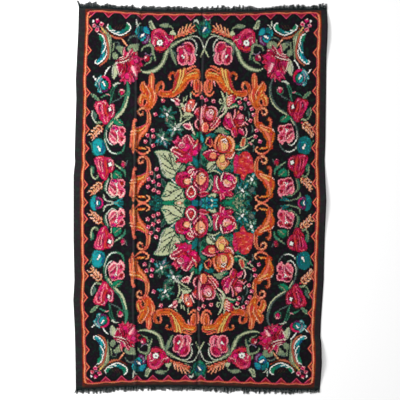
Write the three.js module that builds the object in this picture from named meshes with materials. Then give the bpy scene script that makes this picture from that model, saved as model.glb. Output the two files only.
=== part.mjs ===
// A flat-woven Karabagh kilim lying on the floor: one woven sheet with two soft fold ridges and a wavy
// right-hand edge, and a fringe of warp ends along each end.
// Millimetres, +Z up. X runs across the rug, Y along it, and the floor is z = 0.
import * as THREE from "three";
import { mergeVertices } from "three/addons/utils/BufferGeometryUtils.js";

// Driving dimensions of the cloth.
const HALF_WIDTH = 1000;
const HALF_LENGTH = 1500;
const CLOTH_THICKNESS = 2.5;

// The outline as it lies. Each row: place along the side, then where the edge is there.
const LEFT_EDGE = [
  { y: 1520, x: -970 },
  { y: 1344, x: -974 },
  { y: 1184, x: -982 },
  { y: 944, x: -994 },
  { y: 800, x: -990 },
  { y: 544, x: -998 },
  { y: 344, x: -1003 },
  { y: 288, x: -1000 },
  { y: 184, x: -1012 },
  { y: -336, x: -1012 },
  { y: -656, x: -1005 },
  { y: -816, x: -1014 },
  { y: -1056, x: -1002 },
  { y: -1216, x: -998 },
  { y: -1480, x: -994 },
];
const RIGHT_EDGE = [
  { y: 1520, x: 1015 },
  { y: 1384, x: 1022 },
  { y: 1264, x: 1018 },
  { y: 1144, x: 1012 },
  { y: 800, x: 1008 },
  { y: 464, x: 1004 },
  { y: 304, x: 998 },
  { y: 144, x: 1003 },
  { y: -24, x: 1010 },
  { y: -216, x: 1002 },
  { y: -496, x: 993 },
  { y: -656, x: 990 },
  { y: -976, x: 968 },
  { y: -1112, x: 963 },
  { y: -1160, x: 970 },
  { y: -1320, x: 974 },
  { y: -1456, x: 966 },
  { y: -1530, x: 958 },
];
const TOP_EDGE = [
  { x: -1000, y: 1518 },
  { x: -800, y: 1517 },
  { x: -640, y: 1506 },
  { x: -480, y: 1496 },
  { x: -320, y: 1492 },
  { x: 0, y: 1490 },
  { x: 440, y: 1493 },
  { x: 560, y: 1502 },
  { x: 1000, y: 1506 },
];
const BOTTOM_EDGE = [
  { x: -1000, y: -1522 },
  { x: -880, y: -1517 },
  { x: -760, y: -1508 },
  { x: -600, y: -1500 },
  { x: -400, y: -1496 },
  { x: 0, y: -1496 },
  { x: 320, y: -1508 },
  { x: 640, y: -1519 },
  { x: 1000, y: -1525 },
];

// The two fold ridges that run the length of the rug, each with a gentle left flank and a steep right one.
// u is where a ridge's crest is, counted across the weave from its middle.
const RIDGES = [
  { u: -526, height: 9, leftFlank: 75, rightFlank: 22 },
  { u: -11, height: 6, leftFlank: 55, rightFlank: 20 },
];
const RIDGE_FADE = 70;

// Where the right-hand selvedge lifts off the floor in low waves. v is a wave's middle along the weave, and
// reach is how far it runs from there each way.
const EDGE_WAVES = [
  { v: 1290, reach: 260, height: 11 },
  { v: -20, reach: 330, height: 11 },
  { v: -1270, reach: 230, height: 14 },
];
const WAVE_DEPTH = 120;

// How finely the sheet is divided.
const COLUMN_STEP = 125;
const LEAST_STEP = 12;
const ROWS = 30;
const LEFT_FLANK_STEPS = [-1, -0.66, -0.33];
const RIGHT_FLANK_STEPS = [0, 0.5, 1];
const WAVE_STEPS = [0.33, 0.66];

// The fringes: warp ends left loose past a narrow woven strip.
const STRIP_WIDTH = 9;
const STRIP_GAP = 0.3;
const FRINGE_THICKNESS = 2.2;
const STRANDS = 144;
const ROOT_SHARE = 0.66;
const TIP_SHARE = 0.34;
const TIP_SCATTER = 3.6;
const LENGTH_SCATTER = 0.22;
const SCATTER = { strand: 127.1, salt: 311.7, size: 43758.5 };
// Loose length of the warp ends and how far their tips lean to the right, by place across the rug.
const TOP_FRINGE = [
  { u: -1000, length: 40, lean: -20 },
  { u: -930, length: 34, lean: 0 },
  { u: -860, length: 34, lean: 0 },
  { u: -820, length: 12, lean: 0 },
  { u: -760, length: 29, lean: 0 },
  { u: -640, length: 20, lean: 0 },
  { u: -560, length: 30, lean: 0 },
  { u: -500, length: 14, lean: 0 },
  { u: -470, length: 34, lean: 0 },
  { u: -320, length: 28, lean: 0 },
  { u: 0, length: 26, lean: 0 },
  { u: 200, length: 34, lean: 0 },
  { u: 220, length: 14, lean: 0 },
  { u: 260, length: 36, lean: 0 },
  { u: 440, length: 24, lean: 0 },
  { u: 540, length: 12, lean: 0 },
  { u: 590, length: 25, lean: 0 },
  { u: 810, length: 33, lean: 0 },
  { u: 860, length: 16, lean: 0 },
  { u: 900, length: 35, lean: 0 },
  { u: 1000, length: 33, lean: 0 },
];
const BOTTOM_FRINGE = [
  { u: -1000, length: 26, lean: -14 },
  { u: -930, length: 30, lean: -4 },
  { u: -800, length: 33, lean: 0 },
  { u: -640, length: 33, lean: 0 },
  { u: -480, length: 29, lean: 0 },
  { u: 0, length: 31, lean: 0 },
  { u: 250, length: 39, lean: 0 },
  { u: 340, length: 20, lean: 0 },
  { u: 380, length: 36, lean: 0 },
  { u: 600, length: 31, lean: 0 },
  { u: 860, length: 33, lean: 0 },
  { u: 890, length: 22, lean: 0 },
  { u: 940, length: 31, lean: 0 },
  { u: 1000, length: 28, lean: 0 },
];

const BLACK_WOOL = new THREE.MeshStandardMaterial({ color: 0x1d1b1f, roughness: 0.95, metalness: 0 });
const FRINGE_WOOL = new THREE.MeshStandardMaterial({ color: 0x1b2320, roughness: 0.95, metalness: 0 });

// Straight-line reading of a table: the value of one column at a place in another.
function readTable(table, key, place, value) {
  const rows = [...table].sort((a, b) => a[key] - b[key]);
  const after = rows.findIndex((row) => row[key] >= place);
  if (after === 0) return rows[0][value];
  if (after < 0) return rows[rows.length - 1][value];
  const [low, high] = [rows[after - 1], rows[after]];
  const share = (place - low[key]) / (high[key] - low[key]);
  return THREE.MathUtils.lerp(low[value], high[value], share);
}

// A smooth hump: 1 at distance 0 and 0 from 1 on.
function hump(distance) {
  return Math.cos((Math.PI / 2) * Math.min(1, Math.abs(distance))) ** 2;
}

// How high the cloth is lifted at a place in the weave.
function lift(u, v) {
  const endFade = THREE.MathUtils.smoothstep(HALF_LENGTH - Math.abs(v), 0, RIDGE_FADE);
  let height = 0;
  for (const ridge of RIDGES) {
    const off = u - ridge.u;
    height += ridge.height * endFade * hump(off / (off < 0 ? ridge.leftFlank : ridge.rightFlank));
  }
  const depth = THREE.MathUtils.smoothstep(u, HALF_WIDTH - WAVE_DEPTH, HALF_WIDTH);
  for (const wave of EDGE_WAVES) {
    height += wave.height * endFade * depth * hump((v - wave.v) / wave.reach);
  }
  return height;
}

// Where a place in the weave (u across, v along) lies on the floor.
function lay(u, v) {
  const along = (v + HALF_LENGTH) / (2 * HALF_LENGTH);
  const across = (u + HALF_WIDTH) / (2 * HALF_WIDTH);
  const y = THREE.MathUtils.lerp(
    readTable(BOTTOM_EDGE, "x", u, "y"),
    readTable(TOP_EDGE, "x", u, "y"),
    along,
  );
  const x = THREE.MathUtils.lerp(
    readTable(LEFT_EDGE, "y", y, "x"),
    readTable(RIGHT_EDGE, "y", y, "x"),
    across,
  );
  return new THREE.Vector2(x, y);
}

// Column places across the sheet: an even step, with more of them over each ridge and at the wavy edge.
function columnPlaces() {
  const places = new Set();
  for (let u = -HALF_WIDTH; u <= HALF_WIDTH; u += COLUMN_STEP) places.add(u);
  for (const ridge of RIDGES) {
    for (const step of LEFT_FLANK_STEPS) places.add(Math.round(ridge.u + step * ridge.leftFlank));
    for (const step of RIGHT_FLANK_STEPS) places.add(Math.round(ridge.u + step * ridge.rightFlank));
  }
  for (const step of WAVE_STEPS) places.add(HALF_WIDTH - Math.round(WAVE_DEPTH * step));
  const sorted = [...places].sort((a, b) => a - b);
  return sorted.filter((u, i) => i === 0 || i === sorted.length - 1 || u - sorted[i - 1] > LEAST_STEP);
}

// The woven sheet: a divided slab whose corners are moved to where the cloth lies.
function wovenSheet() {
  const columns = columnPlaces();
  const last = columns.length - 1;
  const slab = new THREE.BoxGeometry(1, 1, CLOTH_THICKNESS, last, ROWS, 1);
  slab.deleteAttribute("normal");
  slab.deleteAttribute("uv");
  const geometry = mergeVertices(slab);
  const points = geometry.getAttribute("position");
  for (let i = 0; i < points.count; i++) {
    const u = columns[Math.round((points.getX(i) + 0.5) * last)];
    const v = 2 * HALF_LENGTH * points.getY(i);
    const place = lay(u, v);
    const face = points.getZ(i) + CLOTH_THICKNESS / 2;
    points.setXYZ(i, place.x, place.y, face + lift(u, v));
  }
  geometry.computeVertexNormals();
  const mesh = new THREE.Mesh(geometry, BLACK_WOOL);
  mesh.name = "woven_sheet";
  return mesh;
}

// A repeatable scatter between -1 and 1 for strand number i: the loose digits of a large sine wave.
function scatter(i, salt) {
  const wave = SCATTER.size * Math.sin(i * SCATTER.strand + salt * SCATTER.salt);
  return 2 * (wave - Math.floor(wave)) - 1;
}

// One fringe as a flat comb: the strip along the cloth's end, and a tapered, leaning strand for each group of
// warps. side is 1 for the top end and -1 for the bottom end.
function fringe(name, side, strands) {
  const v = side * HALF_LENGTH;
  const outline = columnPlaces().map((u) => {
    const place = lay(u, v);
    place.y += side * STRIP_GAP;
    return place;
  });
  outline.reverse();
  const pitch = (2 * HALF_WIDTH) / STRANDS;
  const root = (pitch * ROOT_SHARE) / 2;
  const tip = (pitch * TIP_SHARE) / 2;
  for (let i = 0; i < STRANDS; i++) {
    const u = -HALF_WIDTH + pitch * (i + 0.5);
    const { x, y } = lay(u, v);
    const rootY = y + side * (STRIP_GAP + STRIP_WIDTH);
    const length = readTable(strands, "u", u, "length") * (1 + LENGTH_SCATTER * scatter(i, side));
    const tipX = x + readTable(strands, "u", u, "lean") + TIP_SCATTER * scatter(i, 2 + side);
    outline.push(new THREE.Vector2(x - root, rootY));
    outline.push(new THREE.Vector2(tipX - tip, rootY + side * length));
    outline.push(new THREE.Vector2(tipX + tip, rootY + side * length));
    outline.push(new THREE.Vector2(x + root, rootY));
  }
  const comb = new THREE.ExtrudeGeometry(new THREE.Shape(outline), {
    depth: FRINGE_THICKNESS,
    bevelEnabled: false,
  });
  const mesh = new THREE.Mesh(comb, FRINGE_WOOL);
  mesh.name = name;
  return mesh;
}

const rug = new THREE.Group();
rug.add(wovenSheet());
rug.add(fringe("fringe_top", 1, TOP_FRINGE));
rug.add(fringe("fringe_bottom", -1, BOTTOM_FRINGE));

// The origin is on the floor under the middle of the outline's box.
const extent = new THREE.Box3().setFromObject(rug, true);
const middle = extent.getCenter(new THREE.Vector3());
rug.position.set(-middle.x, -middle.y, 0);

export default rug;
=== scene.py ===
# A Karabagh kilim seen from straight above: flat-woven wool with a charted flower pattern, and a fringe of
# twisted warp ends at each end. Metres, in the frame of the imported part.
import math

import bpy
import numpy as np
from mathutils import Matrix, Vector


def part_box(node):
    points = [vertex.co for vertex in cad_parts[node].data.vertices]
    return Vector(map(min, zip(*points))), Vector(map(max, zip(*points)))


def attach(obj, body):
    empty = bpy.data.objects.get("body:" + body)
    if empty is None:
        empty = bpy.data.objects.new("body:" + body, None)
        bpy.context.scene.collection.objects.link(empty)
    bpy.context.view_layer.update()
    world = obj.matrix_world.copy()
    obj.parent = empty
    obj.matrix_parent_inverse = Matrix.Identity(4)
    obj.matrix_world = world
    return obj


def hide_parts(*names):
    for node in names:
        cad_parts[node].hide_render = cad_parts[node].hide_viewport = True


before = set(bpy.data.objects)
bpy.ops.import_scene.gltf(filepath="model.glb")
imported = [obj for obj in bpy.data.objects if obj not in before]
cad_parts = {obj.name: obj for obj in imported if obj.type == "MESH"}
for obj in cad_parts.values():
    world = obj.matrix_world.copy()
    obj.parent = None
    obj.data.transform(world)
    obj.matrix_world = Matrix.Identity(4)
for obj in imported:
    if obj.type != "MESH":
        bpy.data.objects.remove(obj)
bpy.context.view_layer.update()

rng = np.random.default_rng(12)

# Sizes of the cloth, and the outline as it lies: places across and along the rug, in metres.
HALF_WIDTH = 1.0
HALF_LENGTH = 1.5
THICKNESS = 0.0025
LEFT_EDGE = (
    (1.520, -0.970), (1.344, -0.974), (1.184, -0.982), (0.944, -0.994), (0.800, -0.990),
    (0.544, -0.998), (0.344, -1.003), (0.288, -1.000), (0.184, -1.012), (-0.336, -1.012),
    (-0.656, -1.005), (-0.816, -1.014), (-1.056, -1.002), (-1.216, -0.998), (-1.480, -0.994),
)
RIGHT_EDGE = (
    (1.520, 1.015), (1.384, 1.022), (1.264, 1.018), (1.144, 1.012), (0.800, 1.008),
    (0.464, 1.004), (0.304, 0.998), (0.144, 1.003), (-0.024, 1.010), (-0.216, 1.002),
    (-0.496, 0.993), (-0.656, 0.990), (-0.976, 0.968), (-1.112, 0.963), (-1.160, 0.970),
    (-1.320, 0.974), (-1.456, 0.966), (-1.530, 0.958),
)
TOP_EDGE = (
    (-1.000, 1.518), (-0.800, 1.517), (-0.640, 1.506), (-0.480, 1.496), (-0.320, 1.492),
    (0.000, 1.490), (0.440, 1.493), (0.560, 1.502), (1.000, 1.506),
)
BOTTOM_EDGE = (
    (-1.000, -1.522), (-0.880, -1.517), (-0.760, -1.508), (-0.600, -1.500), (-0.400, -1.496),
    (0.000, -1.496), (0.320, -1.508), (0.640, -1.519), (1.000, -1.525),
)
RIDGES = (  # crest, height, left flank, right flank
    (-0.526, 0.009, 0.075, 0.022),
    (-0.011, 0.006, 0.055, 0.020),
)
EDGE_WAVES = (  # middle, reach, height
    (1.290, 0.260, 0.011),
    (-0.020, 0.330, 0.011),
    (-1.270, 0.230, 0.014),
)
RIDGE_FADE = 0.07
WAVE_DEPTH = 0.12

# The fringes: warp ends left loose past a narrow woven strip, in groups of yarns. Metres.
STRIP_WIDTH = 0.009
STRIP_GAP = 0.0003
STRANDS = 144
YARNS_A_STRAND = 6
YARN_RADIUS = 0.00145
YARN_STEPS = 6
YARN_SIDES = 4
YARN_START = 0.4  # of the strip's width
YARN_TAPER = 0.25
YARN_SPREAD = (0.9, 1.15)
# How far lengths, by their share, and leans stray: with their strand, then yarn by yarn.
LENGTH_SPREAD = (0.34, 0.08)
LEAN_SPREAD = (0.0045, 0.003)
SWAY = 0.0016
SWAY_TURNS = (3, 8)
SWAY_START = (0, 6.3)
# The most that a yarn lies above the floor at its root and at its tip.
ROOT_RISE = 0.0022
TIP_RISE = 0.0008
# The strip's section: share of its width out from the cloth, and height.
STRIP_SECTION = ((0, 0), (0, 0.0022), (0.5, 0.0026), (1, 0.0016), (1, 0))
TOP_FRINGE = (  # place across, loose length, lean of the tips
    (-1.00, 0.040, -0.020), (-0.93, 0.034, 0), (-0.86, 0.034, 0), (-0.82, 0.012, 0), (-0.76, 0.029, 0),
    (-0.64, 0.020, 0), (-0.56, 0.030, 0), (-0.50, 0.014, 0), (-0.47, 0.034, 0), (-0.32, 0.028, 0),
    (0.00, 0.026, 0), (0.20, 0.034, 0), (0.22, 0.014, 0), (0.26, 0.036, 0), (0.44, 0.024, 0),
    (0.54, 0.012, 0), (0.59, 0.025, 0), (0.81, 0.033, 0), (0.86, 0.016, 0), (0.90, 0.035, 0),
    (1.00, 0.033, 0),
)
BOTTOM_FRINGE = (
    (-1.00, 0.026, -0.014), (-0.93, 0.030, -0.004), (-0.80, 0.033, 0), (-0.64, 0.033, 0), (-0.48, 0.029, 0),
    (0.00, 0.031, 0), (0.25, 0.039, 0), (0.34, 0.020, 0), (0.38, 0.036, 0), (0.60, 0.031, 0),
    (0.86, 0.033, 0), (0.89, 0.022, 0), (0.94, 0.031, 0), (1.00, 0.028, 0),
)

# The weave: stitches of 3 mm, four by four of them on each quad of the mesh.
STITCH = 0.003
QUAD_STITCHES = 4
QUADS_ACROSS = round(2 * HALF_WIDTH / STITCH / QUAD_STITCHES)
QUADS_ALONG = round(2 * HALF_LENGTH / STITCH / QUAD_STITCHES)

# The design chart, on squares of 8 mm. X counts squares from the middle of the rug, Y from the line that the
# lower half mirrors. Only the upper half is charted.
SQUARE = 0.008
MIRROR_LINE = -0.040
CELLS = 4
# The dark outlines: their width, the share of it round a line, and the smallest shape and line that have one.
OUTLINE_WIDTH = 0.65
LINE_OUTLINE = 0.6
OUTLINED_SHAPE = 3.4
OUTLINED_LINE = 1.2
# How finely curves, strokes and ovals are drawn.
CURVE_STEPS = 6
STROKE_DOTS = 2.5
OVAL_POINTS = 20
# A leaf's two widest places along its length, and how wide it is at the first of them.
LEAF_PLACES = (0.3, 0.62)
LEAF_FIRST = 0.85
# Colours meet in small steps: their height and length in squares.
STEP = 0.27
STEP_LENGTH = 2.4
CHART_X = (-128, 128)
CHART_Y = (-2, 196)
# The lower half is woven tighter towards its end: squares from the mirror line there, and in the chart.
LOWER_ROWS = ((0, 119, 133.5, 182.5, 190), (0, 119, 140, 191.5, 199))
# The lower half also lies a little to the left.
LOWER_SHIFT_X = ((-100, -60, 0, 100), (0.45, 0.9, 1.2, 0.9))
LOWER_SHIFT_Y = ((0, 60, 110, 150, 190), (0.0, 1.0, 2.3, 4.0, 4.5))

YARNS = {
    "field": (18, 15, 19),
    "rust": (98, 34, 18),
    "burnt": (206, 80, 24),
    "orange": (228, 106, 32),
    "salmon": (240, 120, 90),
    "apricot": (250, 176, 128),
    "gold": (240, 196, 108),
    "crimson": (168, 14, 50),
    "scarlet": (208, 44, 48),
    "wine": (52, 6, 20),
    "hot": (206, 24, 84),
    "magenta": (226, 20, 110),
    "rose": (228, 76, 112),
    "pink": (250, 150, 160),
    "blush": (255, 220, 206),
    "purple": (104, 30, 92),
    "mauve": (146, 124, 152),
    "pale": (196, 202, 160),
    "sage": (130, 148, 112),
    "sea": (56, 126, 96),
    "deep": (14, 62, 48),
    "emerald": (14, 128, 90),
    "teal": (12, 104, 106),
    "turquoise": (24, 156, 164),
    "blue": (20, 88, 136),
    "silver": (204, 208, 188),
    "white": (255, 252, 244),
    "slate": (84, 100, 96),
    "brown": (62, 36, 28),
    "dusk": (190, 98, 74),
    "pine": (16, 34, 28),
    "selvedge": (39, 36, 38),
}
NUMBER = {name: number for number, name in enumerate(YARNS)}
WOOL_DEPTH = 0.64
# The dark yarn that outlines shapes of the brighter ones.
OUTLINES = {
    "wine": ("crimson", "scarlet", "hot", "magenta", "rose", "pink", "blush", "purple"),
    "rust": ("burnt", "orange", "salmon", "apricot", "gold", "dusk"),
    "pine": ("pale", "sage", "sea", "emerald", "teal", "turquoise", "blue", "silver", "white"),
}
OUTLINE_OF = {bright: dark for dark, brights in OUTLINES.items() for bright in brights}
# Runs of yarns from dark to light. A mottled stitch takes the yarn before or after its own.
RUNS = (
    ("brown", "rust", "burnt", "orange", "gold"), ("burnt", "salmon", "apricot", "blush"),
    ("wine", "crimson", "hot", "rose", "pink", "blush", "white"), ("crimson", "scarlet", "rose"),
    ("crimson", "magenta", "pink"), ("wine", "purple", "mauve", "silver", "white"),
    ("pine", "slate", "sage", "pale", "silver"), ("pine", "deep", "sea", "sage"), ("deep", "emerald", "sea"),
    ("deep", "teal", "turquoise", "sea"), ("teal", "blue", "turquoise"),
)
DARKER, LIGHTER = (np.arange(len(YARNS), dtype=np.uint8) for _ in range(2))
for run in reversed(RUNS):
    for before, yarn, after in zip(run, run[1:], run[2:]):
        DARKER[NUMBER[yarn]], LIGHTER[NUMBER[yarn]] = NUMBER[before], NUMBER[after]
MOTTLE = 0.06


def linear(colour):
    """An 8-bit colour as the linear values that a shader takes."""
    share = np.asarray(colour, float) / 255
    return WOOL_DEPTH * np.where(share <= 0.04045, share / 12.92, ((share + 0.055) / 1.055) ** 2.4)


def read(table, place):
    """The values at places, straight between a table's rows."""
    rows = np.array(sorted(table))
    return np.interp(place, rows[:, 0], rows[:, 1])


def lay(u, v):
    """Where places in the weave (u across, v along) lie on the floor, before the frame's own offset."""
    along = (v + HALF_LENGTH) / (2 * HALF_LENGTH)
    across = (u + HALF_WIDTH) / (2 * HALF_WIDTH)
    low, high = read(BOTTOM_EDGE, u), read(TOP_EDGE, u)
    y = low + (high - low) * along
    left, right = read(LEFT_EDGE, y), read(RIGHT_EDGE, y)
    return left + (right - left) * across, y


def hump(distance):
    """A round hump from 1 at its middle to 0 at a distance of 1."""
    return np.cos(np.pi / 2 * np.minimum(1, np.abs(distance))) ** 2


def smooth(share):
    """A soft step from 0 to 1."""
    share = np.clip(share, 0, 1)
    return share * share * (3 - 2 * share)


def lift(u, v):
    """How high the cloth is lifted off the floor."""
    end_fade = smooth((HALF_LENGTH - np.abs(v)) / RIDGE_FADE)
    height = np.zeros(np.broadcast(u, v).shape)
    for crest, rise, left, right in RIDGES:
        off = u - crest
        height += rise * end_fade * hump(off / np.where(off < 0, left, right))
    depth = smooth((u - HALF_WIDTH + WAVE_DEPTH) / WAVE_DEPTH)
    for middle, reach, rise in EDGE_WAVES:
        height += rise * end_fade * depth * hump((v - middle) / reach)
    return height


def curve(points, closed=False):
    """A smooth line through the points."""
    p = np.asarray(points, float)
    ends = (p[-1:], p[:2]) if closed else (2 * p[:1] - p[1:2], 2 * p[-1:] - p[-2:-1])
    p = np.vstack([ends[0], p, ends[1]])
    t = np.linspace(0, 1, CURVE_STEPS, endpoint=False)[:, None]
    runs = [
        0.5 * (2 * b + (c - a) * t + (2 * a - 5 * b + 4 * c - d) * t**2 + (3 * b - a - 3 * c + d) * t**3)
        for a, b, c, d in zip(p, p[1:], p[2:], p[3:])
    ]
    if not closed:
        runs.append(p[-2:-1])
    return np.vstack(runs)


class Pen:
    """Draws on the chart. What is drawn around home appears around at, mirrored if it is flipped.

    The dyes name the yarns that it draws in place of others.
    """

    chart = np.zeros(((CHART_Y[1] - CHART_Y[0]) * CELLS, (CHART_X[1] - CHART_X[0]) * CELLS), np.uint8)

    def __init__(self, at=(0, 0), home=(0, 0), flip=False, dyes=None):
        self.at, self.home, self.flip = np.asarray(at, float), np.asarray(home, float), flip
        self.dyes = dyes or {}

    def place(self, points):
        p = np.asarray(points, float) - self.home
        if self.flip:
            p = p * (-1, 1)
        return p + self.at

    def window(self, points, margin):
        """The cells around the points: their slice of the chart and their places."""
        low, high = points.min(0) - margin, points.max(0) + margin
        c0, c1 = (int(max(0, (e - CHART_X[0]) * CELLS)) for e in (low[0], high[0]))
        r0, r1 = (int(max(0, (e - CHART_Y[0]) * CELLS)) for e in (low[1], high[1]))
        part = self.chart[r0:r1 + 1, c0:c1 + 1]
        ys, xs = np.mgrid[0:part.shape[0], 0:part.shape[1]]
        return part, CHART_X[0] + (c0 + xs + 0.5) / CELLS, CHART_Y[0] + (r0 + ys + 0.5) / CELLS

    def shape(self, points, yarn, edge=None, width=1.0, rounded=True):
        """A filled shape, with an edge line of another yarn if one is given."""
        yarn, edge = self.dyes.get(yarn, yarn), self.dyes.get(edge, edge)
        p = self.place(points)
        if rounded:
            p = curve(p, closed=True)
        part, xs, ys = self.window(p, 1)
        inside = np.zeros(part.shape, bool)
        for (x0, y0), (x1, y1) in zip(p, np.roll(p, -1, 0)):
            if y0 != y1:
                crosses = (y0 > ys) != (y1 > ys)
                inside ^= crosses & (xs < x0 + (ys - y0) * (x1 - x0) / (y1 - y0))
        rim = np.vstack([p, p[:1]])
        radius = np.full(len(rim), width / 2 if edge else 0.0)
        if (edge or yarn) in OUTLINE_OF and np.ptp(p, axis=0).max() > OUTLINED_SHAPE:
            self._stroke(rim, radius + OUTLINE_WIDTH, OUTLINE_OF[edge or yarn])
        part[inside] = NUMBER[yarn]
        if edge:
            self._stroke(rim, radius, edge)

    def line(self, points, yarn, *widths):
        """A smooth stroke whose width runs through the widths given from its start to its end."""
        yarn = self.dyes.get(yarn, yarn)
        p = curve(self.place(points))
        step = np.linalg.norm(np.diff(p, axis=0), axis=1)
        run = np.concatenate([[0], np.cumsum(step)])
        finer = np.linspace(0, run[-1], max(3, int(run[-1] * STROKE_DOTS)))
        p = np.stack([np.interp(finer, run, p[:, 0]), np.interp(finer, run, p[:, 1])], 1)
        radius = np.interp(finer / run[-1], np.linspace(0, 1, len(widths)), widths) / 2
        if yarn in OUTLINE_OF and max(widths) >= OUTLINED_LINE:
            self._stroke(p, radius + OUTLINE_WIDTH * LINE_OUTLINE, OUTLINE_OF[yarn])
        self._stroke(p, radius, yarn)

    def _stroke(self, p, radius, yarn):
        """Fills the cells within a radius of each point."""
        part, xs, ys = self.window(p, radius.max() + 1)
        reach = np.full(part.shape, np.inf)
        for (x, y), r in zip(p, radius):
            np.minimum(reach, np.hypot(xs - x, ys - y) - r, out=reach)
        part[reach <= 0] = NUMBER[yarn]

    def oval(self, x, y, rx, ry, yarn, turn=0.0, edge=None, width=1.0):
        a = np.linspace(0, 2 * np.pi, OVAL_POINTS, endpoint=False)
        cos, sin = math.cos(math.radians(turn)), math.sin(math.radians(turn))
        px, py = rx * np.cos(a), ry * np.sin(a)
        points = np.stack([x + px * cos - py * sin, y + px * sin + py * cos], 1)
        self.shape(points, yarn, edge, width, rounded=False)

    def dot(self, x, y, r, yarn):
        self.oval(x, y, r, r, yarn)

    def leaf(self, base, tip, width, yarn, edge=None, line=0.9):
        """A pointed leaf from base to tip, with an edge line of the width given."""
        base, tip = np.asarray(base, float), np.asarray(tip, float)
        along = tip - base
        half = np.array([-along[1], along[0]]) / np.hypot(*along) * width / 2
        near, far = (base + along * place for place in LEAF_PLACES)
        points = [base, near + half * LEAF_FIRST, far + half, tip, far - half, near - half * LEAF_FIRST]
        self.shape(points, yarn, edge, line)


# The flowers down the right side are in deeper yarns than those down the left.
DEEPER = {
    "hot": "crimson", "rose": "hot", "pink": "rose", "blush": "pink", "magenta": "hot", "turquoise": "teal",
    "silver": "sage", "pale": "sage", "apricot": "salmon",
}
# Its pink roses change less.
PINKER = {"hot": "crimson", "magenta": "crimson", "blush": "pink", "purple": "wine"}


def both(right, home, motif, left=None, dyes=None):
    """Draws a motif on the left, at home or at the place given, and its mirror image on the right."""
    motif(Pen(at=left or home, home=home))
    motif(Pen(at=right, home=home, flip=True, dyes=dyes))


def berry(pen, x, y, r, light=(-0.8, 0.7)):
    """A round berry in a wine rim, with its light on the side given."""
    pen.dot(x, y, r + 0.5, "wine")
    pen.dot(x, y, r, "pink")
    pen.dot(x, y, r * 0.8, "magenta")
    pen.dot(x - light[0] * 0.4, y - light[1] * 0.4, r * 0.42, "crimson")
    pen.oval(x + light[0] * 1.1, y + light[1] * 1.1, r * 0.42, r * 0.34, "blush")


def bud(pen, x, y):
    """A small closed flower in its sepals."""
    pen.line([(x - 2.8, y + 2.6), (x - 3, y - 1.6), (x - 0.4, y - 3.8), (x + 2.8, y - 2), (x + 3, y + 2.4)],
             "sea", 0.8, 1, 1.2, 1, 0.7)
    pen.oval(x, y + 0.4, 2.5, 3, "pink")
    pen.oval(x - 0.2, y - 0.6, 1.6, 2, "hot")
    pen.dot(x + 0.6, y + 2, 0.7, "blush")


def corner_scrolls(pen):
    """Two scrolled leaves, white along their outer side, on a forked stem."""
    pen.line([(-94.6, 177), (-93, 172), (-88, 167.4), (-82, 165.4), (-76, 166.4), (-70, 169.6)],
             "rust", 1, 1.8, 2, 2, 1)
    pen.line([(-90, 167.8), (-84, 165.2), (-78.6, 164.6)], "dusk", 1, 2, 1.4)
    pen.line([(-77.4, 163), (-75.4, 160.6), (-73.2, 157.4)], "apricot", 1.4, 1.6, 1)
    pen.line([(-98.5, 175.5), (-95, 171), (-91.2, 166), (-90.3, 160), (-90, 152), (-90.4, 144)],
             "sage", 2, 3.4, 4.4, 2.8, 2, 1)
    pen.line([(-98.6, 175.4), (-96, 172), (-93.6, 168.6)], "gold", 1, 1.2, 0.6)
    pen.line([(-92, 167), (-91, 162), (-90.4, 157)], "pale", 1.2, 1.6, 0.8)
    pen.line([(-99.6, 172), (-95, 167), (-93, 161), (-91.6, 152), (-92.4, 146), (-95.4, 141), (-100, 137.6)],
             "dusk", 1, 1.6, 1.6, 1.6, 1.8, 1.6, 1)
    pen.line([(-86.8, 159.4), (-84.6, 160.8), (-81.6, 160.4), (-80.8, 158.2), (-83, 157.6)], "slate", 1, 0.9)
    pen.line([(-86, 160), (-86.3, 155.6), (-87.4, 152)], "sage", 1.2, 1.2, 1)
    for x in (-84, -81, -78.4):
        pen.line([(x - 1.6, 174), (x + 1.4, 178)], "brown", 0.9, 0.6)
    pen.line([(-91, 176.8), (-89.4, 173.8), (-86.6, 171.8)], "emerald", 2.6, 3, 2)
    pen.line([(-86, 170.8), (-80, 170.4), (-75, 172.8)], "teal", 2.4, 3.4, 3.4)
    pen.line([(-84, 171), (-79, 170.8)], "turquoise", 1, 1.4)
    pen.line([(-74, 173.2), (-71.8, 175.4), (-72.4, 178.4)], "emerald", 3, 4.2, 2.4)
    pen.line([(-91.6, 178.4), (-92.8, 176.2), (-91, 173.2), (-87.4, 170.6), (-83.6, 168.8), (-79.6, 167.8),
              (-75, 169.4), (-70.6, 172.6), (-69.4, 175.8), (-70.6, 178.4), (-73, 180)],
             "white", 1, 1.1, 1.15, 1.1, 1.1, 1.15, 1)
    pen.line([(-88.4, 172.6), (-85.2, 172.4)], "white", 0.9, 0.9)
    pen.line([(-84, 169.8), (-80.8, 170.8)], "white", 0.9, 0.9)
    pen.line([(-100, 167.4), (-98.4, 164.4), (-97, 161)], "emerald", 2, 3.8, 2.6)
    pen.line([(-97, 160.6), (-96.8, 156), (-97.6, 152)], "teal", 2.4, 3, 3)
    pen.line([(-97, 151), (-97.2, 147.4), (-99.6, 143.4), (-102.4, 141)], "turquoise", 3, 4.4, 4.4, 2.4)
    pen.line([(-98.4, 148), (-100.6, 144)], "blue", 1.2, 1)
    for points in (
        [(-101.2, 169), (-98.6, 168.2), (-96.4, 165.6), (-95.4, 162), (-96.2, 158.6)],
        [(-94.4, 159.6), (-94.4, 156.4), (-95.6, 153), (-97.8, 150)],
        [(-93.4, 152.8), (-93.6, 148.6), (-95.8, 144.6), (-99.4, 141), (-102.6, 139), (-105, 141),
         (-103.6, 142.8)],
    ):
        pen.line(points, "white", 0.9, 1.15, 1.15, 0.9)


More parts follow.
